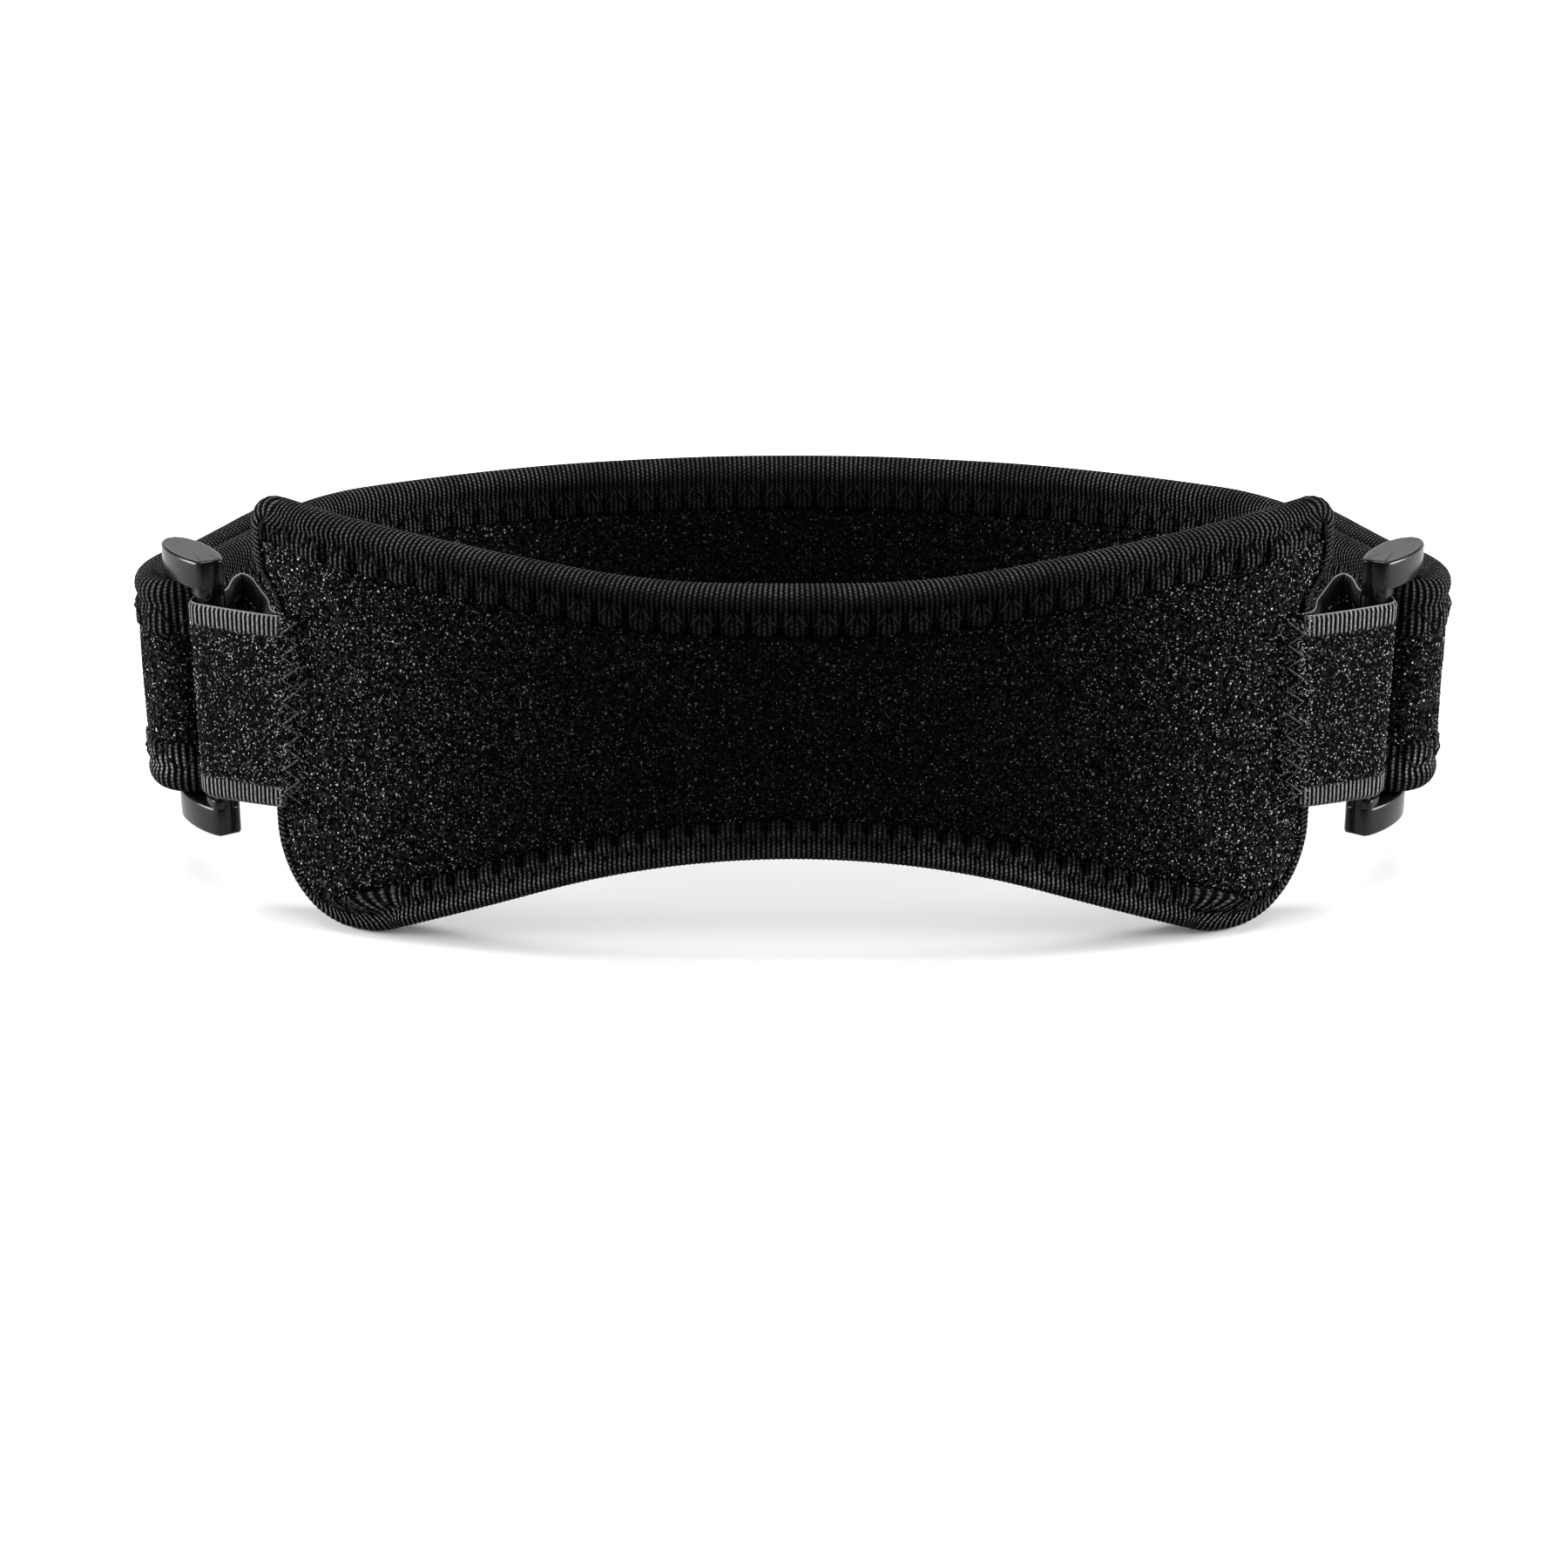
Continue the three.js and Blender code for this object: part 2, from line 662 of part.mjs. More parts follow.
function build() {
  const pad = padPanel();
  const band = bandPanel();
  const finishes = {
    loop: material("loop_cloth", COLOURS.loop, 0.95),
    tape: material("binding_tape", COLOURS.tape, 0.8),
    webbing: material("webbing", COLOURS.webbing, 0.85),
    plastic: material("ring_plastic", COLOURS.plastic, 0.35),
    hook: material("hook_tape", COLOURS.hook, 0.9),
  };
  const [strap, ring, patch] = [strapGeometry(pad), ringGeometry(), patchGeometry()].map(widen);
  const pieces = [
    ["front_pad", widen(pad.core(PAD)), finishes.loop],
    ["front_pad_binding", widen(pad.binding(PAD.tape)), finishes.tape],
    ["back_band", widen(band.core(BAND)), finishes.loop],
    ["back_band_binding", widen(band.binding(BAND.tape)), finishes.tape],
    ["left_strap", mirror(strap), finishes.webbing],
    ["right_strap", strap, finishes.webbing],
    ["left_ring", mirror(ring), finishes.plastic],
    ["right_ring", ring, finishes.plastic],
    ["left_hook_patch", mirror(patch), finishes.hook],
    ["right_hook_patch", patch, finishes.hook],
  ];
  const [front, back] = [pieces[1][1], pieces[3][1]];
  const angle = restingAngle(front, back);
  settle(pieces.map((piece) => piece[1]), angle, lowest(front, angle) + SQUASH);
  const group = new THREE.Group();
  group.name = "patella_strap";
  pieces.forEach(([name, geometry, finish]) => {
    geometry.computeVertexNormals();
    const mesh = new THREE.Mesh(geometry, finish);
    mesh.name = name;
    group.add(mesh);
  });
  return group;
}

export default build();
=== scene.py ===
"""Looks of a patella strap: a bound foam pad, a bound back band, two webbing straps and two rings.

Every piece is worked out in the strap's own millimetres, with its middle plane level, and is then
tipped back and set down on the floor in metres, where the solids of the frame are.
"""

from __future__ import annotations

import logging
import math
from dataclasses import dataclass, field, replace
from enum import Enum

import bmesh
import bpy
import numpy as np
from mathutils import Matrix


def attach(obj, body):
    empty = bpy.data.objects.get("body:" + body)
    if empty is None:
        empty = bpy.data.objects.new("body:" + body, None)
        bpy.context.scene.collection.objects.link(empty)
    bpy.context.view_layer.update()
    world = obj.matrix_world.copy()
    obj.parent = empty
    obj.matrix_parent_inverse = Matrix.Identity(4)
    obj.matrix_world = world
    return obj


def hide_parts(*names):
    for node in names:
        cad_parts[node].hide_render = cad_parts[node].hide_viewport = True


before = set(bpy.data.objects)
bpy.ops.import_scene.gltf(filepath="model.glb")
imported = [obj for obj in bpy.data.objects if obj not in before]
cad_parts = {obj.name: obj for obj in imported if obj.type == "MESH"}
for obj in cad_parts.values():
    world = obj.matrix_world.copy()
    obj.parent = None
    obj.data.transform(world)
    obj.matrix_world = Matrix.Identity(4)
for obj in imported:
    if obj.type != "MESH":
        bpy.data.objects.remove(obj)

Array = np.ndarray
Socket = bpy.types.NodeSocket
Colour = tuple[float, float, float]
LOG = logging.getLogger("patella_strap")
MM = 0.001
SEED = 7

# How far the cloth lies over the foam.
CLOTH = 0.25
# The loops of the cloth and the webbing: mean radius of an arch, and radius of its yarn.
LOOP_RADIUS = 0.14
YARN_RADIUS = 0.06


class Side(Enum):
    """The two ends of the strap, by the sign of X."""

    LEFT = -1
    RIGHT = 1


class Face(Enum):
    """The two faces of a panel, by the sign of the distance from its middle surface."""

    OUTER = -1
    INNER = 1


@dataclass(frozen=True)
class Stance:
    """How the strap stands: widened upwards, tipped back and set on the floor."""

    tilt: float = 0.23384
    lift: float = 30.765
    set_back: float = 30.485
    widening: float = 0.0004

    def settle(self, points: Array) -> Array:
        """Turns the strap's own millimetres into metres on the floor.

        Each x grows in proportion to the height, the points turn about X by the tilt, move back and
        up, and whatever would lie under the floor is pressed flat onto it.

        Args:
            points: Points in the strap's own millimetres.

        Returns:
            The same points in metres in the frame.
        """
        x, y, z = points[..., 0], points[..., 1], points[..., 2]
        sin, cos = math.sin(self.tilt), math.cos(self.tilt)
        wide = x * (1 + self.widening * z)
        back = y * cos + z * sin - self.set_back
        high = np.maximum(z * cos - y * sin + self.lift, 0.0)
        return np.stack([wide, back, high], axis=-1) * MM


STANCE = Stance()


def smooth(share: Array) -> Array:
    """Eases a share from 0 to 1 by the cubic 3t2 - 2t3, level at both ends."""
    t = np.clip(share, 0.0, 1.0)
    return t * t * (3 - 2 * t)


class PlanCurve:
    """A smooth line in plan through given points, measured along its length.

    Between two points it is the centripetal Catmull-Rom cubic of the four points around them. The
    missing neighbour of an end point is that point's neighbour mirrored in it.
    """

    def __init__(self, knots: Array, per_span: int = 40) -> None:
        """Samples the line.

        Args:
            knots: Points that the line passes through.
            per_span: How many steps each span between two points is cut into.
        """
        self.per_span = per_span
        self.spots = self._sample(np.asarray(knots, dtype=float), per_span)
        steps = np.linalg.norm(np.diff(self.spots, axis=0), axis=1)
        self.reach = np.concatenate([[0.0], np.cumsum(steps)])
        ways = np.gradient(self.spots, self.reach, axis=0)
        self.ways = ways / np.linalg.norm(ways, axis=1, keepdims=True)
        self.length = float(self.reach[-1])
        self.knots = self.reach[::per_span]

    @staticmethod
    def _sample(knots: Array, per_span: int) -> Array:
        """Evaluates every span at once as a Hermite cubic with centripetal tangents.

        Args:
            knots: Points that the line passes through.
            per_span: Steps in each span.

        Returns:
            The points of the line.
        """
        before = np.vstack([2 * knots[0] - knots[1], knots[:-1]])[: len(knots) - 1]
        start, stop = knots[:-1], knots[1:]
        after = np.vstack([knots[2:], 2 * knots[-1] - knots[-2]])
        gap_a = np.linalg.norm(start - before, axis=1)[:, None] ** 0.5
        gap_b = np.linalg.norm(stop - start, axis=1)[:, None] ** 0.5
        gap_c = np.linalg.norm(after - stop, axis=1)[:, None] ** 0.5
        step = (stop - start) / gap_b
        lean_a = (start - before) / gap_a - (stop - before) / (gap_a + gap_b) + step
        lean_b = step - (after - start) / (gap_b + gap_c) + (after - stop) / gap_c
        lean_a, lean_b = (lean_a * gap_b)[:, None], (lean_b * gap_b)[:, None]
        t = (np.arange(per_span) / per_span)[None, :, None]
        start, stop = start[:, None], stop[:, None]
        cubic = (
            (2 * t**3 - 3 * t**2 + 1) * start
            + (t**3 - 2 * t**2 + t) * lean_a
            + (3 * t**2 - 2 * t**3) * stop
            + (t**3 - t**2) * lean_b
        )
        return np.vstack([cubic.reshape(-1, knots.shape[1]), knots[-1]])

    def at(self, lengths: Array) -> tuple[Array, Array]:
        """Finds places on the line, straight on beyond its ends.

        Args:
            lengths: Distances along the line.

        Returns:
            The places and their left-hand normals.
        """
        inside = np.clip(lengths, 0.0, self.length)
        spot = np.stack([np.interp(inside, self.reach, self.spots[:, k]) for k in (0, 1)], axis=-1)
        way = np.stack([np.interp(inside, self.reach, self.ways[:, k]) for k in (0, 1)], axis=-1)
        way /= np.linalg.norm(way, axis=-1, keepdims=True)
        spot = spot + way * (np.asarray(lengths) - inside)[..., None]
        return spot, np.stack([-way[..., 1], way[..., 0]], axis=-1)

    def beside(self, lengths: Array, offsets: Array | float) -> Array:
        """Places on the line, moved sideways.

        Args:
            lengths: Distances along the line.
            offsets: Distances to the left of it.

        Returns:
            The moved places.
        """
        spot, normal = self.at(lengths)
        return spot + normal * np.asarray(offsets)[..., None]

    def lengths_at(self, shares: Array) -> Array:
        """Distances along the line of places that are counted in spans from its start."""
        return np.interp(shares, np.arange(len(self.knots)), self.knots)


@dataclass(frozen=True)
class Shell:
    """Points and four- and three-cornered faces, with a flat place for each corner."""

    points: Array
    quads: Array
    quad_run: Array
    tris: Array
    tri_run: Array


def no_tris() -> tuple[Array, Array]:
    """Empty arrays of three-cornered faces and of their flat places."""
    return np.zeros((0, 3), int), np.zeros((0, 3, 2))


def grid_shell(
    points: Array, run: Array, wrap_rows: bool = False, wrap_columns: bool = False
) -> Shell:
    """Joins a grid of points with four-cornered faces.

    Args:
        points: Rows of columns of points.
        run: Flat places, one row or column longer than the points where the grid is wrapped.
        wrap_rows: Whether the last row joins the first.
        wrap_columns: Whether the last column joins the first.

    Returns:
        The grid as a shell.
    """
    rows, columns = points.shape[:2]
    j, i = np.meshgrid(
        np.arange(rows if wrap_rows else rows - 1),
        np.arange(columns if wrap_columns else columns - 1),
        indexing="ij",
    )
    corners = [(j, i), (j, i + 1), (j + 1, i + 1), (j + 1, i)]
    quads = np.stack([(a % rows) * columns + b % columns for a, b in corners], axis=-1)
    flat = np.stack([run[a, b] for a, b in corners], axis=-2)
    return Shell(points.reshape(-1, 3), quads.reshape(-1, 4), flat.reshape(-1, 4, 2), *no_tris())


def fan_shell(rim: Array, run: Array, turned: bool) -> Shell:
    """Closes a ring of points with a fan about their middle.

    Args:
        rim: The points of the ring.
        run: The flat places of the ring.
        turned: Whether the fan faces the other way.

    Returns:
        The fan as a shell.
    """
    count = len(rim)
    points = np.vstack([rim, rim.mean(axis=0)])
    a = np.arange(count)
    b = (a + 1) % count
    ends = (b, a) if turned else (a, b)
    tris = np.stack([*ends, np.full(count, count)], axis=-1)
    flat = np.vstack([run, run.mean(axis=0)])
    return Shell(points, np.zeros((0, 4), int), np.zeros((0, 4, 2)), tris, flat[tris])


def join(shells: list[Shell]) -> Shell:
    """Puts several shells into one.

    Args:
        shells: The shells.

    Returns:
        One shell with all their points and faces.
    """
    starts = np.cumsum([0] + [len(s.points) for s in shells[:-1]])
    return Shell(
        np.vstack([s.points for s in shells]),
        np.vstack([s.quads + k for s, k in zip(shells, starts)]),
        np.vstack([s.quad_run for s in shells]),
        np.vstack([s.tris + k for s, k in zip(shells, starts)]),
        np.vstack([s.tri_run for s in shells]),
    )


def capped(points: Array, run: Array) -> Shell:
    """Rings of points as a tube, each of its two ends closed with a fan.

    Args:
        points: The rings.
        run: Their flat places, one column longer than the points.

    Returns:
        The tube as one shell.
    """
    body = grid_shell(points, run, wrap_columns=True)
    ends = [fan_shell(points[k], run[k, :-1], k == 0) for k in (0, -1)]
    return join([body, *ends])


def counted(rows: int, columns: int) -> Array:
    """The row and column numbers of a grid, which serve as its flat places."""
    grid = np.meshgrid(np.arange(rows), np.arange(columns), indexing="ij")
    return np.stack(grid, axis=-1).astype(float)


def raised(flat: Array, heights: Array) -> Array:
    """Rows of places in plan as points, each row at its own height."""
    levels = np.broadcast_to(heights[:, None, None], (*flat.shape[:2], 1))
    return np.concatenate([flat, levels], axis=-1)


def super_ellipse(angle: Array, power: float) -> tuple[Array, Array]:
    """The cosine and the sine of angles, their sizes raised to a power."""
    cosine, sine = np.cos(angle), np.sin(angle)
    return np.sign(cosine) * np.abs(cosine) ** power, np.sign(sine) * np.abs(sine) ** power


def between(grid: Array, row: Array, column: Array) -> Array:
    """Reads a grid between its points, from the four nearest by their shares.

    Args:
        grid: Rows of columns of numbers or of points.
        row: Row numbers with fractions.
        column: Column numbers with fractions.

    Returns:
        The numbers or points read.
    """
    i = np.minimum(row.astype(int), grid.shape[0] - 2)
    j = np.minimum(column.astype(int), grid.shape[1] - 2)
    shape = (*row.shape, *(1,) * (grid.ndim - 2))
    a, b = (row - i).reshape(shape), (column - j).reshape(shape)
    near = grid[i, j] * (1 - b) + grid[i, j + 1] * b
    far = grid[i + 1, j] * (1 - b) + grid[i + 1, j + 1] * b
    return near * (1 - a) + far * a


def in_plan(directions: Array) -> Array:
    """Directions in plan as level directions in space."""
    return np.concatenate([directions, np.zeros((*directions.shape[:-1], 1))], axis=-1)


def turned(shell: Shell) -> Shell:
    """The shell with every face turned round."""
    return replace(
        shell,
        quads=shell.quads[:, ::-1],
        quad_run=shell.quad_run[:, ::-1],
        tris=shell.tris[:, ::-1],
        tri_run=shell.tri_run[:, ::-1],
    )


def settled(shell: Shell) -> Shell:
    """The shell set down on the floor, in metres."""
    return replace(shell, points=STANCE.settle(shell.points))


def facing_out(shell: Shell) -> Shell:
    """Turns a closed shell so that its faces point outwards.

    The sign is that of the volume enclosed, the sum over the faces of a corner times the cross
    product of the two next ones.

    Args:
        shell: A closed shell.

    Returns:
        The shell, turned where its volume was negative.
    """
    centred = shell.points - shell.points.mean(axis=0)
    volume = 0.0
    for corners in (shell.quads[:, [0, 1, 2]], shell.quads[:, [0, 2, 3]], shell.tris):
        p, q, r = (centred[corners[:, k]] for k in range(3))
        volume += float(np.einsum("ij,ij->", p, np.cross(q, r)))
    return shell if volume >= 0 else turned(shell)


def mirrored(shell: Shell) -> Shell:
    """The shell on the other side of X = 0, still facing outwards."""
    return facing_out(replace(shell, points=shell.points * [-1, 1, 1]))


def make_piece(
    name: str, shell: Shell, finish: bpy.types.Material, weld: bool = False
) -> bpy.types.Object:
    """Makes an object of a shell that is in metres.

    Args:
        name: The piece's name.
        shell: Its points and faces.
        finish: Its material.
        weld: Whether points that fall together are made one.

    Returns:
        The new object, smooth-shaded, at the origin.
    """
    shell = facing_out(shell)
    mesh = bpy.data.meshes.new(name)
    mesh.from_pydata(shell.points.tolist(), [], [*shell.quads.tolist(), *shell.tris.tolist()])
    run = mesh.uv_layers.new(name="Run")
    flat = np.vstack([shell.quad_run.reshape(-1, 2), shell.tri_run.reshape(-1, 2)])
    run.data.foreach_set("uv", flat.astype(np.float32).ravel())
    if weld:
        work = bmesh.new()
        work.from_mesh(mesh)
        bmesh.ops.remove_doubles(work, verts=work.verts, dist=2e-6)
        bmesh.ops.recalc_face_normals(work, faces=work.faces)
        work.to_mesh(mesh)
        work.free()
    mesh.shade_smooth()
    mesh.materials.append(finish)
    mesh.update()
    piece = bpy.data.objects.new(name, mesh)
    bpy.context.scene.collection.objects.link(piece)
    LOG.info("%s: %d triangles", name, 2 * len(shell.quads) + len(shell.tris))
    return piece


def place_piece(piece: bpy.types.Object, slot: str, *nodes: str) -> None:
    """Ties a piece to the strap's body and hides the solids that it stands for.

    Args:
        piece: The piece.
        slot: Not used.
        nodes: The solids that it stands for.
    """
    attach(piece, "root")
    if nodes:
        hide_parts(*nodes)


def tube(path: Array, normals: Array, radius: float, sides: int, closed: bool) -> Shell:
    """A round tube along a path.

    Each ring lies in the plane of the path's normal and of the cross product of the path's
    direction with that normal.

    Args:
        path: Points of the path.
        normals: A direction across the path for each point.
        radius: The tube's radius.
        sides: Points in each ring.
        closed: Whether the path's end joins its start.

    Returns:
        The tube, its ends closed where the path is open.
    """
    if closed:
        way = np.roll(path, -1, axis=0) - np.roll(path, 1, axis=0)
    else:
        way = np.gradient(path, axis=0)
    across = np.cross(way, normals)
    across /= np.linalg.norm(across, axis=1, keepdims=True)
    angle = (2 * math.pi * np.arange(sides) / sides)[None, :, None]
    ring = np.cos(angle) * normals[:, None, :] + np.sin(angle) * across[:, None, :]
    points = path[:, None, :] + radius * ring
    run = counted(len(path) + int(closed), sides + 1)
    if closed:
        return grid_shell(points, run, wrap_rows=True, wrap_columns=True)
    return capped(points, run)


@dataclass(frozen=True)
class EdgeLine:
    """A long edge of a panel: level in the middle, then rising, then a rounded corner."""

    flat: float
    knee: float = 0.0
    slope: float = 0.0
    knee_radius: float = 0.0
    corner_radius: float = 5.0

    def height(self, s: Array, inset: float) -> Array:
        """Height of the edge, moved inwards by an inset.

        Level up to the knee, a circular arc through it, and then the straight rise.

        Args:
            s: Distances from the centre.
            inset: How far the edge is moved inwards.

        Returns:
            The heights.
        """
        if self.slope == 0:
            return np.full_like(s, self.flat - inset)
        lean = math.hypot(1, self.slope)
        start = self.knee + self.knee_radius * (1 - lean) / self.slope
        radius = self.knee_radius + inset
        across = np.abs(s) - start
        bent = across < radius * self.slope / lean
        level = np.full_like(s, self.flat - inset)
        curved = self.flat + self.knee_radius - np.sqrt(np.maximum(radius**2 - across**2, 0.0))
        rising = self.flat + self.slope * (np.abs(s) - self.knee) - inset * lean
        return np.select([across <= 0, bent], [level, curved], rising)

    def corner_turn(self, inset: float) -> float:
        """Radius of the corner's arc at an inset, never quite sharp."""
        return max(self.corner_radius - inset, 0.6)

    def corner(self, end: float, inset: float, end_inset: float, steps: int) -> Array:
        """The rounded corner from the edge to the end, an arc that touches both.

        Args:
            end: Distance of the panel's end from its centre.
            inset: How far the edge is moved inwards.
            end_inset: How far the end is moved inwards.
            steps: Steps in the arc.

        Returns:
            Points of the arc, distance from the centre and height.
        """
        radius = self.corner_turn(inset)
        lean = math.hypot(1, self.slope)
        s = end - end_inset - radius
        z = self.flat + self.slope * (s - self.knee) - (inset + radius) * lean
        angle = (math.pi / 2 + math.atan(self.slope)) * (1 - np.arange(steps + 1) / steps)
        return np.stack([s + radius * np.cos(angle), z + radius * np.sin(angle)], axis=-1)


@dataclass(frozen=True)
class Hollow:
    """How a panel's end is drawn in: a scoop between two heights and a steady draw below."""

    depth: float = 0.0
    top: float = 0.0
    bottom: float = 0.0
    upper_blend: float = 1.0
    lower_blend: float = 1.0
    draw_depth: float = 0.0
    draw_top: float = 0.0
    draw_bottom: float = -1.0

    def at(self, z: Array) -> Array:
        """How far the end is drawn in at each height, by eased steps.

        Args:
            z: The heights.

        Returns:
            How far the end is drawn in.
        """
        drawn = smooth((self.draw_top - z) / (self.draw_top - self.draw_bottom))
        scoop = smooth((self.top - z) / self.upper_blend)
        scoop = scoop * smooth((z - self.bottom) / self.lower_blend)
        return self.draw_depth * drawn + self.depth * scoop


@dataclass(frozen=True)
class Tape:
    """Binding tape folded over an edge, held by a zigzag of stitches."""

    width: float
    half: float
    wall: float
    end_less: float
    rib: float = 0.75
    top_stitch: float = 4.5
    low_stitch: float = 3.75
    stitch_from: float = 3.5
    stitch_to: float = 6.2
    lobe: float = 0.3
    puff: float = 0.4
    pull: float = 1.0
    thread: float = 0.2
    slant: float = 1.6


@dataclass
class Panel:
    """A foam panel with its outline, its bending along a plan line and its binding tape."""

    name: str
    top: EdgeLine
    bottom: EdgeLine
    hollow: Hollow
    tape: Tape
    curve: PlanCurve
    middle: float
    half: float
    pinched: float
    dome: float
    top_margin: float
    low_margin: float
    thin_share: float = 1.0
    thin_over: float = 1.0
    pressed_over: float = 0.0
    blown: dict[Face, Array] = field(default_factory=dict)
    lattice: float = 2.0

    @property
    def end(self) -> float:
        """Distance from the centre to each end."""
        return self.curve.length / 2

    @property
    def lip_inset(self) -> float:
        """How far inside the edge the foam's thin lip has its full breadth, under the tape."""
        return self.tape.wall + 1.3

    @property
    def height_span(self) -> tuple[float, float]:
        """A range of heights that holds the whole panel."""
        return -2.3 * self.bottom.flat, 1.5 * self.top.flat

    def end_inset(self, inset: float) -> float:
        """Inset across the end that belongs to an inset of the long edges.

        Args:
            inset: How far the long edges are moved inwards.

        Returns:
            How far the end is moved inwards.
        """
        free = self.lip_inset
        share = min(max((inset - free) / (self.tape.width - free), 0.0), 1.0)
        return inset - self.tape.end_less * share

    def sides(self, inset: float, step: float) -> tuple[Array, Array, Array]:
        """The upper, lower and right side of the outline at an inset.

        The long sides run from left to right and each has as many points as the other. The right
        side runs from half-way round the upper corner to half-way round the lower one.

        Args:
            inset: How far the outline is moved inwards.
            step: About how far its points are apart.

        Returns:
            Upper side, lower side and right side, distance from the centre and height.
        """
        end_inset = self.end_inset(inset)
        low_end = self.end - self.hollow.draw_depth
        turns = [2 * math.ceil(0.8 * e.corner_radius / step + 1) for e in (self.top, self.bottom)]
        high_arc = self.top.corner(self.end, inset, end_inset, turns[0])
        low_arc = self.bottom.corner(low_end, inset, end_inset, turns[1])
        low_arc[:, 1] *= -1
        spread = [self.end - self.top_margin, self.end - self.low_margin]
        half_count = math.ceil(max(spread) / step) + max(turns) // 2
        chains = []
        for sign, edge, arc, reach, turn in zip(
            (1, -1), (self.top, self.bottom), (high_arc, low_arc), spread, turns
        ):
            s = np.linspace(0.0, reach, half_count - turn // 2)
            chain = np.vstack(
                [np.stack([s, sign * edge.height(s, inset)], axis=-1), arc[: turn // 2 + 1]]
            )
            chains.append(np.vstack([chain[:0:-1] * [-1, 1], chain]))
        high, low = high_arc[-1, 1], low_arc[-1, 1]
        z = np.linspace(high, low, math.ceil((self.top.flat + self.bottom.flat) / step) + 2)[1:-1]
        straight = np.stack([self.end - end_inset - self.hollow.at(z), z], axis=-1)
        right = np.vstack([high_arc[turns[0] // 2 :], straight, low_arc[: turns[1] // 2 - 1 : -1]])
        return chains[0], chains[1], right

    def outline(self, inset: float, step: float) -> Array:
        """The outline at an inset as one closed row, clockwise from the upper left.

        Args:
            inset: How far it is moved inwards.
            step: About how far its points are apart.

        Returns:
            Its points, distance from the centre and height.
        """
        top, bottom, right = self.sides(inset, step)
        left = right * [-1, 1]
        return np.vstack([top[:-1], right[:-1], bottom[::-1][:-1], left[::-1][:-1]])

    def grid(self, inset: float, step: float) -> Array:
        """A grid over the inside of the outline, rows from top to bottom.

        It is the Coons patch of the four sides: the blend of the long sides plus the blend of the
        short sides less the blend of the corners.

        Args:
            inset: How far the outline is moved inwards.
            step: About how far the points of the outline are apart.

        Returns:
            Rows of columns of places, distance from the centre and height.
        """
        top, bottom, right = self.sides(inset, step)
        left = right * [-1, 1]
        spans = [(side[:, 0] - side[0, 0]) / (side[-1, 0] - side[0, 0]) for side in (top, bottom)]
        u = ((spans[0] + spans[1]) / 2)[None, :, None]
        v = ((left[:, 1] - left[0, 1]) / (left[-1, 1] - left[0, 1]))[:, None, None]
        long_sides = (1 - v) * top[None] + v * bottom[None]
        short_sides = (1 - u) * left[:, None] + u * right[:, None]
        high_corners = (1 - u) * top[0] + u * top[-1]
        low_corners = (1 - u) * bottom[0] + u * bottom[-1]
        corners = (1 - v) * high_corners + v * low_corners
        return long_sides + short_sides - corners

    def thinned(self, s: Array | float) -> Array:
        """Share of the thickness left at a distance from the centre, eased down to the end."""
        share = smooth((np.abs(s) - self.end + self.thin_over) / self.thin_over)
        return 1 - (1 - self.thin_share) * share

    def place(self, flat: Array, n: Array | float) -> Array:
        """Bends flat places along the plan line.

        Args:
            flat: Distance from the centre and height.
            n: Distance from the middle surface.

        Returns:
            Points in the strap's own millimetres.
        """
        plan = self.curve.beside(flat[..., 0] + self.end, n * self.thinned(flat[..., 0]))
        return np.concatenate([plan, flat[..., 1:2] + self.middle], axis=-1)

    def lattice_lines(self) -> tuple[Array, Array]:
        """The lattice for the cloth: its distances from the centre and its heights."""
        columns = 2 * round(self.end / self.lattice) + 1
        heights = np.arange(*self.height_span, self.lattice)
        return np.linspace(-self.end, self.end, columns), heights

    def blow(self, pressure: float, cap: float) -> None:
        """Lets the cloth of each face belly out over its foam, by cloth simulation.

        A lattice over the face is held under the tape and where a strap is sewn on, and pressure
        from inside moves the rest for twenty frames. What is kept is how far each point has gone
        out of the face, levelled off towards the cap by a hyperbolic tangent.

        Args:
            pressure: The pressure, in Blender's own unit.
            cap: The most that a point may stand out.
        """
        s, z = np.meshgrid(*self.lattice_lines(), indexing="ij")
        free = self.inside(s, z, self.tape.width - 0.5)
        free &= np.abs(s) < self.end - self.pressed_over
        index = np.arange(s.size).reshape(s.shape)
        corners = [index[:-1, :-1], index[1:, :-1], index[1:, 1:], index[:-1, 1:]]
        quads = np.stack(corners, axis=-1).reshape(-1, 4)
        for face in Face:
            start = self.place(np.stack([s, z], axis=-1), face.value * (self.half + CLOTH))
            start = start.reshape(-1, 3)
            facing = quads if face is Face.OUTER else quads[:, ::-1]
            moved = cloth_under_pressure(start, facing, ~free.reshape(-1), pressure)
            normal = self.curve.at(s.reshape(-1) + self.end)[1] * face.value
            way = ((moved - start)[:, :2] * normal).sum(axis=1).reshape(s.shape)
            self.blown[face] = cap * np.tanh(way / cap)
            LOG.info("%s: %s cloth goes out by %.2f mm", self.name, face.name.lower(), way.max())

    def belly(self, flat: Array, face: Face) -> Array:
        """How far the simulated cloth of one face stands out.

        Args:
            flat: Distance from the centre and height.
            face: The face that it is on.

        Returns:
            The distance, read between the points of the lattice.
        """
        s_line, z_line = self.lattice_lines()
        row = np.interp(flat[..., 0], s_line, np.arange(len(s_line)))
        column = np.interp(flat[..., 1], z_line, np.arange(len(z_line)))
        return between(self.blown[face], row, column)

